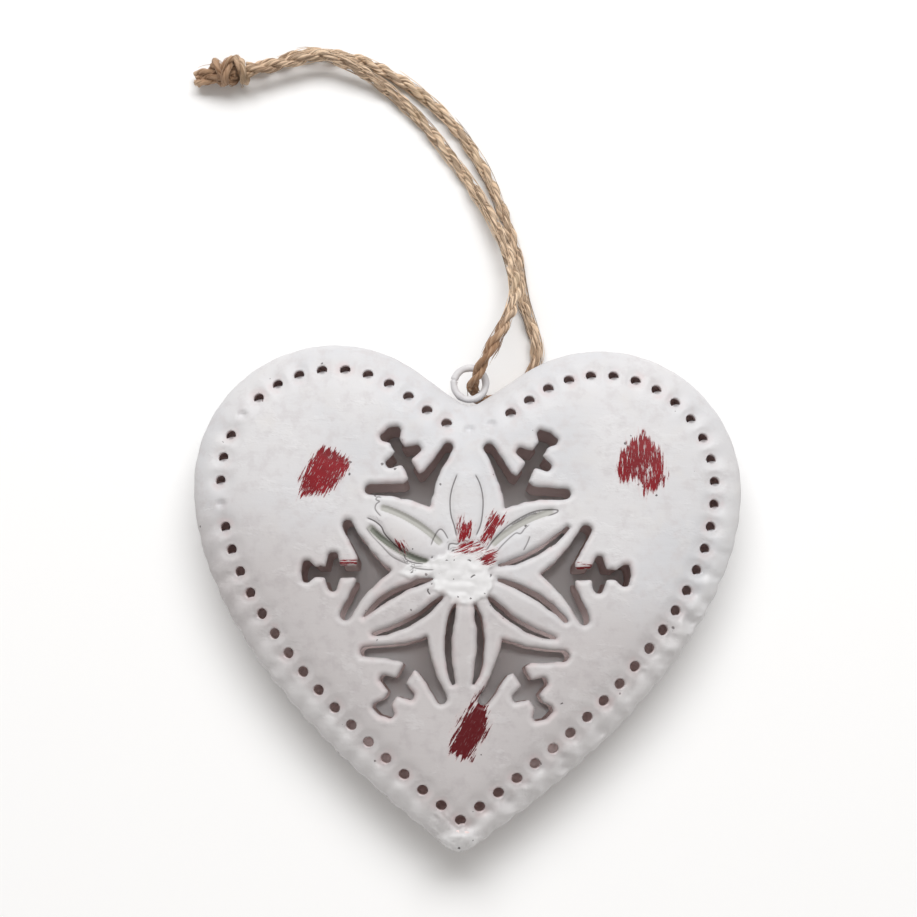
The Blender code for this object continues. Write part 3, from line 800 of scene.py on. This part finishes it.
def ramp(tree, value, low, high, down=False):   # a smooth step from low to high
    node = tree.nodes.new("ShaderNodeMapRange")
    node.interpolation_type = "SMOOTHSTEP"
    tree.links.new(value, node.inputs["Value"])
    node.inputs["From Min"].default_value = low
    node.inputs["From Max"].default_value = high
    node.inputs["To Min"].default_value = 1.0 if down else 0.0
    node.inputs["To Max"].default_value = 0.0 if down else 1.0
    return node.outputs["Result"]


def noiseOn(tree, vector, scale, detail=3.0, rough=0.55):
    node = tree.nodes.new("ShaderNodeTexNoise")
    node.inputs["Scale"].default_value = scale
    node.inputs["Detail"].default_value = detail
    node.inputs["Roughness"].default_value = rough
    tree.links.new(vector, node.inputs["Vector"])
    return node.outputs["Fac"]


def attribute(tree, name):
    node = tree.nodes.new("ShaderNodeAttribute")
    node.attribute_name = name
    return node


def stretched(tree, vector, size):
    node = tree.nodes.new("ShaderNodeMapping")
    node.inputs["Scale"].default_value = size
    tree.links.new(vector, node.inputs["Vector"])
    return node.outputs["Vector"]


def objectPlace(tree):
    return tree.nodes.new("ShaderNodeTexCoord").outputs["Object"]


# Thick chalky paint: a shared group gives its colour, roughness and height
chalk = {
    "light": (0.66, 0.65, 0.66), "cool": (0.62, 0.62, 0.64), "warm": (0.66, 0.635, 0.62),
    # the dull patches' colour, and a greyer form of it that is painted shade on the lower part
    "dull": (0.595, 0.575, 0.585), "paintedShadeDull": (0.475, 0.445, 0.45),
    # the middle colour here is painted shade for the lower part of the face
    "thick": (0.74, 0.735, 0.74), "paintedShadeGrey": (0.52, 0.49, 0.49), "pink": (0.62, 0.46, 0.46),
    "red": (0.235, 0.005, 0.011), "deepRed": (0.10, 0.004, 0.007),
    # first, painted shade for the paint lips inside the holes
    "lip": (0.13, 0.115, 0.115), "dark": (0.05, 0.04, 0.042),
    # after the inside's colour, olive tones: painted shade, tinted olive, in the slots that paint has closed
    "inner": (0.78, 0.65, 0.635), "oliveShade": (0.43, 0.425, 0.40), "deepOliveShade": (0.19, 0.20, 0.17),
}


def makeChalkGroup():
    group = bpy.data.node_groups.new("chalkPaint", "ShaderNodeTree")
    for name, side, kind in (("Place", "INPUT", "Vector"), ("Specks", "INPUT", "Float"),
                             ("Thickness", "INPUT", "Float"), ("Colour", "OUTPUT", "Color"),
                             ("Roughness", "OUTPUT", "Float"), ("Height", "OUTPUT", "Float")):
        group.interface.new_socket(name, in_out=side, socket_type="NodeSocket" + kind)
    start = group.nodes.new("NodeGroupInput")
    end = group.nodes.new("NodeGroupOutput")
    place, specks = start.outputs["Place"], start.outputs["Specks"]
    broad = noiseOn(group, place, 60.0, 3.0)
    blotch = noiseOn(group, place, 190.0, 4.0, 0.6)
    brushed = noiseOn(group, stretched(group, place, (130.0, 900.0, 300.0)), 1.0, 4.0, 0.6)
    grain = noiseOn(group, place, 2600.0, 2.0)
    mottle = noiseOn(group, place, 420.0, 3.0, 0.65)
    colour = mixColour(group, ramp(group, broad, 0.38, 0.66), chalk["light"], chalk["cool"])
    colour = tinted(group, colour, ramp(group, blotch, 0.5, 0.78), 0.5, chalk["warm"])
    parts = group.nodes.new("ShaderNodeSeparateXYZ")
    group.links.new(place, parts.inputs["Vector"])
    # painted shade: towards the bottom the paint is laid greyer and its dull patches darker, standing in for
    # light that falls off there
    slant = sums(group, "MULTIPLY_ADD", parts.outputs["X"], 0.19, parts.outputs["Y"])
    slant = sums(group, "ADD", slant, sums(group, "MULTIPLY_ADD", broad, 0.014, -0.007))
    low = ramp(group, slant, -0.006, 0.013, True)
    colour = tinted(group, colour, low, 0.9, chalk["paintedShadeGrey"])
    dull = mixColour(group, low, chalk["dull"], chalk["paintedShadeDull"])
    colour = tinted(group, colour, ramp(group, mottle, 0.46, 0.7), 0.85, dull)
    layer = noiseOn(group, stretched(group, place, (150.0, 240.0, 200.0)), 1.0, 4.0, 0.7)
    layer = ramp(group, layer, 0.54, 0.64)
    colour = tinted(group, colour, layer, 0.16, chalk["thick"])
    colour = mixColour(group, start.outputs["Thickness"], colour, chalk["thick"])
    cells = group.nodes.new("ShaderNodeTexVoronoi")
    cells.inputs["Scale"].default_value = 950.0
    cells.inputs["Randomness"].default_value = 1.0
    warped = group.nodes.new("ShaderNodeVectorMath")
    warped.operation = "MULTIPLY_ADD"
    jitter = group.nodes.new("ShaderNodeTexNoise")
    jitter.inputs["Scale"].default_value = 2200.0
    group.links.new(place, jitter.inputs["Vector"])
    group.links.new(jitter.outputs["Color"], warped.inputs[0])
    warped.inputs[1].default_value = (0.0004, 0.0004, 0.0004)
    group.links.new(place, warped.inputs[2])
    group.links.new(warped.outputs[0], cells.inputs["Vector"])
    chance = group.nodes.new("ShaderNodeSeparateColor")
    group.links.new(cells.outputs["Color"], chance.inputs["Color"])
    wanted = sums(group, "LESS_THAN", chance.outputs["Red"], specks)
    size = sums(group, "MULTIPLY_ADD", chance.outputs["Green"], 0.18, 0.08)
    dot = times(group, wanted, sums(group, "LESS_THAN", cells.outputs["Distance"], size))
    colour = tinted(group, colour, dot, 0.85, chalk["dark"])
    group.links.new(colour, end.inputs["Colour"])
    rough = sums(group, "MULTIPLY_ADD", blotch, 0.35, 0.36)
    group.links.new(rough, end.inputs["Roughness"])
    height = sums(group, "ADD", times(group, blotch, 0.55), times(group, brushed, 0.3))
    height = sums(group, "ADD", height, sums(group, "MULTIPLY_ADD", grain, 0.06, times(group, layer, 0.2)))
    height = sums(group, "SUBTRACT", height, times(group, dot, 0.3))
    group.links.new(height, end.inputs["Height"])
    return group


chalkGroup = makeChalkGroup()


def placeChalk(tree, specks, thickness=0.0):
    node = tree.nodes.new("ShaderNodeGroup")
    node.node_tree = chalkGroup
    tree.links.new(objectPlace(tree), node.inputs["Place"])
    feed(tree, specks, node.inputs["Specks"])
    feed(tree, thickness, node.inputs["Thickness"])
    return node


def makeWhitePaint(name):
    material, tree, shader = newMaterial(name)
    keys = ("cut", "crust", "slotShade", "inside", "worn", "seam", "seamFade")
    cut, crust, slotShade, inside, worn, seam, seamFade = [attribute(tree, key).outputs["Fac"] for key in keys]
    stroke = attribute(tree, "stroke").outputs["Vector"]
    place = objectPlace(tree)
    nearCut = ramp(tree, cut, 0.1, 1.3, True)
    specks = sums(tree, "MULTIPLY_ADD", ramp(tree, crust, 0.65, 1.0), 0.3, 0.01)
    specks = sums(tree, "ADD", specks, times(tree, nearCut, 0.1))
    specks = sums(tree, "ADD", specks, times(tree, ramp(tree, worn, -1.6, -0.2), 0.2))
    # thick paint lightens the colour; along the lower rim this is partly painted light
    chalky = placeChalk(tree, specks, times(tree, crust, 0.85))
    colour = chalky.outputs["Colour"]
    patchy = noiseOn(tree, place, 320.0, 3.0)
    bead = times(tree, ramp(tree, cut, 0.1, 0.4), ramp(tree, cut, 0.7, 1.3, True))
    colour = tinted(tree, colour, bead, 0.14, chalk["thick"])
    pinkness = times(tree, nearCut, ramp(tree, patchy, 0.42, 0.7))
    colour = tinted(tree, colour, pinkness, 0.35, chalk["pink"])
    # painted shade, tinted olive, in the closed slots, darkest where the paint has sunk deepest
    uneven = times(tree, slotShade, sums(tree, "MULTIPLY_ADD", patchy, 0.5, 0.75))
    colour = mixColour(tree, ramp(tree, uneven, 0.15, 0.6), colour, chalk["oliveShade"])
    colour = mixColour(tree, ramp(tree, uneven, 0.72, 0.95), colour, chalk["deepOliveShade"])
    bristles = noiseOn(tree, stretched(tree, stroke, (3.2, 0.32, 1.0)), 1.0, 4.0, 0.65)
    fine = noiseOn(tree, stretched(tree, stroke, (9.0, 1.1, 1.0)), 1.0, 3.0, 0.6)
    ragged = sums(tree, "ADD", worn, sums(tree, "MULTIPLY_ADD", bristles, 4.6, -2.4))
    ragged = sums(tree, "ADD", ragged, sums(tree, "MULTIPLY_ADD", fine, 1.6, -0.8))
    red = ramp(tree, ragged, 0.0, 0.18)
    fringe = ramp(tree, ragged, -0.75, 0.1)
    colour = mixColour(tree, sums(tree, "MULTIPLY", fringe, 0.35), colour, chalk["pink"])
    parts = tree.nodes.new("ShaderNodeSeparateXYZ")
    tree.links.new(place, parts.inputs["Vector"])
    bottom = ramp(tree, parts.outputs["Y"], -0.012, -0.003, True)
    deeper = sums(tree, "MULTIPLY_ADD", ramp(tree, patchy, 0.35, 0.65), 0.4, bottom, clamp=True)
    flecks = ramp(tree, noiseOn(tree, stretched(tree, stroke, (9.0, 0.8, 1.0)), 1.0, 2.0, 0.5), 0.62, 0.68)
    flecks = sums(tree, "MULTIPLY", flecks, sums(tree, "MULTIPLY_ADD", bottom, 0.62, -0.75))
    red = sums(tree, "MULTIPLY", red, sums(tree, "ADD", flecks, 1.0))
    colour = mixColour(tree, red, colour, mixColour(tree, deeper, chalk["red"], chalk["deepRed"]))
    line = sums(tree, "MULTIPLY", ramp(tree, sums(tree, "ABSOLUTE", seam), 0.04, 0.17, True), seamFade)
    colour = mixColour(tree, line, colour, chalk["dark"])
    # painted shade: the paint lips rolled into the holes, on both halves, are darkened, the more the deeper into
    # a hole
    colour = tinted(tree, colour, ramp(tree, cut, -0.75, 0.12, True), 0.8, chalk["lip"])
    colour = mixColour(tree, inside, colour, chalk["inner"])
    tree.links.new(colour, shader.inputs["Base Color"])
    rough = sums(tree, "ADD", chalky.outputs["Roughness"], times(tree, red, -0.12))
    tree.links.new(rough, shader.inputs["Roughness"])
    height = sums(tree, "SUBTRACT", chalky.outputs["Height"], times(tree, red, 0.35))
    height = sums(tree, "SUBTRACT", height, times(tree, line, 0.5))
    addBump(tree, shader, height, 0.5, 0.00025)
    shader.inputs["Specular IOR Level"].default_value = 0.3
    return material


whitePaint = makeWhitePaint("whitePaint")


openHoles = [p for i, p in enumerate(rightHoles) if i not in punching["closedRight"]]
openHoles += [p for i, p in enumerate(leftHoles) if i not in punching["closedLeft"]] + [tipHole]
closedHoles = [rightHoles[i] for i in punching["closedRight"]]
closedHoles += [leftHoles[i] for i in punching["closedLeft"]] + [topHole]


def frontLip(at):   # paint lips shrink from the top down, and the lower holes have none
    high, low = punching["lipShare"]
    share = low + (high - low) * float(smooth(at[1], -8.0, 26.0))
    return np.array(punching["lipSide"]) * (share if at[1] > -2.0 or abs(at[0]) < 0.5 else 0.0)


def backLip(at):   # paint all but fills them, so that no floor shows through them from the front; these lips are coloured dark, painted shade that the front holes show
    return (at - middle) / np.linalg.norm(at - middle) * punching["backLip"]


def frontWanted(spots, level):
    if level == 0:
        finer = rimDistance(spots) < shell["rimBand"]
        finer |= np.linalg.norm(spots - middle, axis=1) < shell["flowerBand"]
        return finer | (wearMarks(spots)["worn"] > -1.2)
    finer = loopDistance(spots, hubPaint) < 0.8
    for line in [c[3] for c in creaseLines] + list(closedLines.values()):
        finer |= lineDistance(spots, line)[0] < 0.75
    return finer


def backWanted(spots, level):
    return (rimDistance(spots) < shell["rimBand"]) & (level == 0)


frontHoles = [(p, punching["radius"], frontLip(p)) for p in openHoles]
frontLoops = trees + [loop for key, loop in slots.items() if key not in leaf["closed"]]
frontSheet = cutSheet(frontLoops, frontHoles, frontWanted)
makeShell("heart_front", frontSheet, frontHeights, 1, wearMarks, "front_shell")
backLoops = trees + list(slots.values())
backHoles = [(p, punching["radius"], backLip(p)) for p in openHoles + closedHoles]
backSheet = cutSheet(backLoops, backHoles, backWanted)
makeShell("heart_back", backSheet, backHeights, -1, unworn, "back_shell")


# The hanging ring: painted wire with its joint on the left
ring = {"radius": 2.65, "wire": 0.6, "jointAt": 168.0, "jointHalf": 2.0, "turns": 96, "sides": 20}


def makeRingPaint():
    material, tree, shader = newMaterial("ringPaint")
    chalky = placeChalk(tree, 0.02)
    tree.links.new(chalky.outputs["Colour"], shader.inputs["Base Color"])
    tree.links.new(chalky.outputs["Roughness"], shader.inputs["Roughness"])
    addBump(tree, shader, chalky.outputs["Height"], 0.5, 0.0002)
    return material


def makeRing(v):
    low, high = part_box("hanging_ring")
    at = (low + high) / 2 / mm
    bm = bmesh.new()
    circle = bmesh.ops.create_circle(bm, cap_ends=False, radius=v["wire"], segments=v["sides"])
    bmesh.ops.rotate(bm, matrix=Matrix.Rotation(math.pi / 2, 3, "X"), verts=circle["verts"])
    bmesh.ops.translate(bm, vec=(v["radius"], 0, 0), verts=circle["verts"])
    bmesh.ops.spin(bm, geom=bm.verts[:] + bm.edges[:], axis=(0, 0, 1), cent=(0, 0, 0), angle=math.tau,
                   steps=v["turns"], use_merge=True, use_duplicate=False)
    bmesh.ops.remove_doubles(bm, verts=bm.verts, dist=0.001)
    for p in bm.verts:
        turn = math.degrees(math.atan2(p.co.y, p.co.x)) % 360
        ringLine = Vector((math.cos(math.radians(turn)), math.sin(math.radians(turn)), 0)) * v["radius"]
        off = abs(turn - v["jointAt"]) / v["jointHalf"]
        swell = 1.0 + 0.05 * math.sin(math.radians(turn * 5)) + 0.03 * math.sin(math.radians(turn * 11 + 40))
        p.co = ringLine + (p.co - ringLine) * swell * (1 - 0.45 * math.exp(-off * off))
    bmesh.ops.translate(bm, vec=at, verts=bm.verts)
    return finishMesh("wire_ring", meshFrom(bm, "ring"), makeRingPaint(), "hanging_ring")


makeRing(ring)


# The jute twine: two plies, each a bundle of fibres, along the solids' route
twine = {
    "radius": 1.05, "bundle": 0.2, "bundleOut": 0.37, "plyOffset": 0.47, "plyPitch": 8.4, "bundlePitch": 5.0,
    "perPly": 8, "step": 0.35, "sides": 6, "offFloor": 0.02,
    "fibres": 22, "fibre": 0.06,       # loose fibres lying over the plies
}
twineRoute = (
    (-39.8, 89.2, 3.75), (-34.7, 90.6, 3.3), (-30.4, 91.9, 3.3), (-26.2, 92.7, 3.3), (-22.7, 91.5, 3.1),
    (-19.2, 89.9, 2.4), (-14.4, 86.8, 1.3), (-9.6, 82.3, 1.05), (-2.3, 73.4, 1.05), (3.3, 64.5, 2.6),
    (5.3, 60.2, 3.3), (6.8, 55.6, 4.1), (7.3, 51.2, 6.0), (6.4, 47.0, 8.7), (4.7, 43.2, 10.9),
    (3.0, 39.9, 11.4), (1.5, 37.0, 10.1), (0.5, 34.9, 7.5), (1.0, 33.5, 4.8), (2.9, 33.0, 2.9),
    (5.4, 33.8, 1.8), (7.9, 35.2, 1.2), (10.0, 37.4, 1.05), (11.1, 40.3, 1.05), (11.1, 43.5, 1.05),
    (9.0, 50.2, 1.05), (8.3, 53.6, 1.05), (7.8, 57.4, 1.05), (5.1, 66.1, 1.05), (-0.1, 76.5, 1.05),
    (-8.1, 85.7, 1.05), (-18.5, 92.1, 1.05), (-22.4, 93.2, 1.05), (-26.4, 93.8, 1.05), (-30.7, 93.5, 1.05),
    (-35.0, 91.9, 1.1), (-39.8, 90.7, 1.75))
ringPoint = 17           # the route's point in the ring


def smoothRoute(route, steps=24):
    route = [np.array(p, float) for p in route]
    ends = [route[0] * 2 - route[1]] + route + [route[-1] * 2 - route[-2]]
    line = []
    for p0, p1, p2, p3 in zip(ends, ends[1:], ends[2:], ends[3:]):
        k1 = math.sqrt(np.linalg.norm(p1 - p0))
        k2 = k1 + math.sqrt(np.linalg.norm(p2 - p1))
        k3 = k2 + math.sqrt(np.linalg.norm(p3 - p2))
        for i in range(steps):
            t = k1 + (k2 - k1) * i / steps
            a1 = p0 + (p1 - p0) * t / k1
            a2 = p1 + (p2 - p1) * (t - k1) / (k2 - k1)
            a3 = p2 + (p3 - p2) * (t - k2) / (k3 - k2)
            b1 = a1 + (a2 - a1) * t / k2
            b2 = a2 + (a3 - a2) * (t - k1) / (k3 - k1)
            line.append(b1 + (b2 - b1) * (t - k1) / (k2 - k1))
    line = np.array(line + [route[-1]])
    line[:, 2] = np.maximum(line[:, 2], twine["radius"])
    return line


def carried(line):   # two directions across a line, carried along it without twisting
    along = np.gradient(line, axis=0)
    along /= np.linalg.norm(along, axis=1)[:, None]
    across = np.cross(along[0], (0.0, 0.0, 1.0))
    firsts = []
    for t in along:
        across = across - t * (across @ t)
        across /= np.linalg.norm(across)
        firsts.append(across)
    firsts = np.array(firsts)
    return firsts, np.cross(along, firsts)


def addTube(bm, line, radii, sides, uv, tone, shade):   # a circle swept along a line, ends closed
    firsts, seconds = carried(line)
    turns = np.arange(sides) * math.tau / sides
    made = []
    rings = []
    for p, a, b, r in zip(line, firsts, seconds, radii):
        rings.append([bm.verts.new(p + (a * math.cos(t) + b * math.sin(t)) * r) for t in turns])
    for i, (lower, upper) in enumerate(zip(rings, rings[1:])):
        for k in range(sides):
            j = (k + 1) % sides
            f = bm.faces.new((lower[k], lower[j], upper[j], upper[k]))
            for loop, (s, t) in zip(f.loops, ((k, i), (k + 1, i), (k + 1, i + 1), (k, i + 1))):
                loop[uv].uv = (s / sides, t * 0.05)
            made.append(f)
    made += [bm.faces.new(rings[0][::-1]), bm.faces.new(rings[-1])]
    for f in made:
        for loop in f.loops:
            loop[tone] = shade


def addRope(bm, line, radius, uv, tone, runStart, seed):
    v = twine
    size = radius / v["radius"]
    run = runStart + np.concatenate([[0.0], np.cumsum(np.linalg.norm(np.diff(line, axis=0), axis=1))])
    firsts, seconds = carried(line)
    rng = np.random.default_rng(seed)
    for ply in range(2):
        turn = run / (v["plyPitch"] * size) * math.tau + ply * math.pi
        offset = (firsts * np.cos(turn)[:, None] + seconds * np.sin(turn)[:, None]) * v["plyOffset"] * size
        core = line + offset
        a, b = carried(core)
        for k in range(v["perPly"] + 1):
            phase = rng.uniform(0, math.tau)
            wander = 1 + 0.18 * np.sin(run * rng.uniform(0.5, 1.3) + phase)
            spin = -run / (v["bundlePitch"] * size) * math.tau + k * math.tau / v["perPly"]
            out = 0.0 if k == v["perPly"] else v["bundleOut"] * size
            at = core + (a * np.cos(spin)[:, None] + b * np.sin(spin)[:, None]) * (out * wander)[:, None]
            thick = v["bundle"] * size * (1 + 0.2 * np.sin(run * rng.uniform(0.8, 2.2) + phase))
            at[:, 2] = np.maximum(at[:, 2], thick + v["offFloor"])
            addTube(bm, at, thick, v["sides"], uv, tone, rng.uniform(0, 1))


def addFibres(bm, line, radius, uv, tone, count, seed):   # fine fibres wound over the rope, some loose
    rng = np.random.default_rng(seed)
    firsts, seconds = carried(line)
    for k in range(count):
        first = int(rng.integers(0, max(1, len(line) - 30)))
        last = min(len(line), first + int(rng.integers(18, 26 if k % 4 == 0 else 80)))
        if last - first < 8:
            continue
        share = np.linspace(0, 1, last - first)
        turn = rng.uniform(0, math.tau) + share * rng.uniform(-1.4, 1.4) * (last - first) / 30
        loose = rng.uniform(0.15, 0.6) if k % 4 == 0 else 0.0
        out = radius * (0.93 + 0.12 * np.sin(share * math.tau * rng.uniform(0.5, 2))) + loose * share ** 2
        at = line[first:last] + (firsts[first:last] * np.cos(turn)[:, None]
                                 + seconds[first:last] * np.sin(turn)[:, None]) * out[:, None]
        thick = twine["fibre"] * rng.uniform(0.6, 1.2) * (1 - 0.7 * np.abs(share * 2 - 1) ** 4)
        at[:, 2] = np.maximum(at[:, 2], thick + twine["offFloor"])
        addTube(bm, at, thick, 4, uv, tone, rng.choice((0.0, 0.75, 1.0)))


def makeJute():
    material, tree, shader = newMaterial("jute")
    uv = tree.nodes.new("ShaderNodeUVMap").outputs["UV"]
    place = objectPlace(tree)
    tone = attribute(tree, "tone").outputs["Fac"]
    strands = noiseOn(tree, stretched(tree, uv, (26.0, 4.0, 1.0)), 1.0, 4.0, 0.65)
    patch = noiseOn(tree, place, 160.0, 3.0)
    mixed = sums(tree, "ADD", times(tree, strands, 0.6), times(tree, tone, 0.4))
    colour = mixColour(tree, ramp(tree, mixed, 0.2, 0.6), (0.12, 0.062, 0.03), (0.85, 0.65, 0.465))
    colour = tinted(tree, colour, ramp(tree, patch, 0.5, 0.75), 0.4, (0.40, 0.29, 0.16))
    colour = tinted(tree, colour, attribute(tree, "dark").outputs["Fac"], 0.7, (0.29, 0.135, 0.055))
    tree.links.new(colour, shader.inputs["Base Color"])
    shader.inputs["Roughness"].default_value = 0.72
    shader.inputs["Sheen Weight"].default_value = 0.15
    addBump(tree, shader, strands, 0.6, 0.00012)
    return material


jute = makeJute()
fullRoute = smoothRoute(twineRoute)
ringIndex = ringPoint * 24


def ropeMesh(name, parts):
    bm = bmesh.new()
    uv = bm.loops.layers.uv.new("UVMap")
    tone = bm.loops.layers.float.new("tone")
    for line, radius, start, seed in parts:
        addRope(bm, line, radius, uv, tone, start, seed)
        addFibres(bm, line, radius, uv, tone, round(twine["fibres"] * length(line) / 30), seed + 50)
    mesh = meshFrom(bm, name)
    places = np.zeros(len(mesh.vertices) * 3, np.float32)
    mesh.vertices.foreach_get("co", places)
    places = places.reshape(-1, 3)
    # the twine is laid darker towards the ring and round the knot's middle
    fromRing = np.linalg.norm(places[:, :2] - (2.0, 37.0), axis=1)
    fromKnot = np.linalg.norm((places[:, :2] - (-44.6, 88.9)) / (1.5, 1.0), axis=1)
    darkNearRingAndKnot = np.maximum(1 - smooth(fromRing, 4.0, 13.0), 1 - smooth(fromKnot, 1.8, 4.2))
    darkNearRingAndKnot = np.maximum(darkNearRingAndKnot, 0.35 * (1 - smooth(fromKnot, 5.0, 15.0)))
    dark = mesh.attributes.new("dark", "FLOAT", "POINT")
    dark.data.foreach_set("value", darkNearRingAndKnot.astype(np.float32))
    return mesh


def length(line):
    return float(np.linalg.norm(np.diff(line, axis=0), axis=1).sum())


frontLeg = fullRoute[:ringIndex + 1]
backLeg = fullRoute[ringIndex:]
frontLine = evenly(frontLeg, round(length(frontLeg) / twine["step"]))
backLine = evenly(backLeg, round(length(backLeg) / twine["step"]))
legs = []
for name, line, start in (("twine_front_strand", frontLine, 0.0),
                          ("twine_back_strand", backLine, length(frontLeg))):
    mesh = ropeMesh(name, [(line, twine["radius"], start, 3)])
    legs.append(finishMesh(name, mesh, jute, "twine"))

# The overhand knot: three wraps round the strands and two frayed ends
knot = {
    "middle": (-43.4, 89.4, 3.0), "turn": 8.0, "rope": 0.92,
    # place along the knot, tilt and radius of each wrap, and how far off the middle each end lies
    "wraps": ((2.9, 12.0, 1.95), (1.2, -32.0, 2.0), (-0.9, 24.0, 1.75)), "ends": (0.55, -0.75),
}


def makeKnot(v):
    frameTurn = Matrix.Rotation(math.radians(v["turn"]), 3, "Z")
    at = Vector(v["middle"])
    parts = []
    for i, (along, tilt, radius) in enumerate(v["wraps"]):
        lean = Matrix.Rotation(math.radians(tilt), 3, "Z") @ Matrix.Rotation(math.radians(tilt * 0.5), 3, "Y")
        loop = []
        for k in range(61):
            turn = math.radians(370.0 * k / 60)
            p = Vector((0.25 * (k / 60 - 0.5), radius * math.cos(turn), radius * math.sin(turn)))
            loop.append(np.array(at + frameTurn @ (lean @ p + Vector((along, 0, 0)))))
        parts.append((np.array(loop), v["rope"], i * 5.0, 20 + i))
    for i, side in enumerate(v["ends"]):
        route = ((2.0, side, 0.3), (-1.5, side * 1.2, 0.1), (-3.6, side * 1.1, -0.9), (-5.2, side - 0.3, -1.5))
        line = evenly(smoothRoute([tuple(at + frameTurn @ Vector(p)) for p in route], 12), 30)
        parts.append((line, v["rope"], 2.0 * i, 30 + i))
    return finishMesh("overhand_knot", ropeMesh("knot", parts), jute, "twine_knot")


knotPiece = makeKnot(knot)
for piece, line in zip(legs, (frontLine, backLine)):
    length(line) * mm
    [tuple(p * mm) for p in line]
print("twine and knot made")
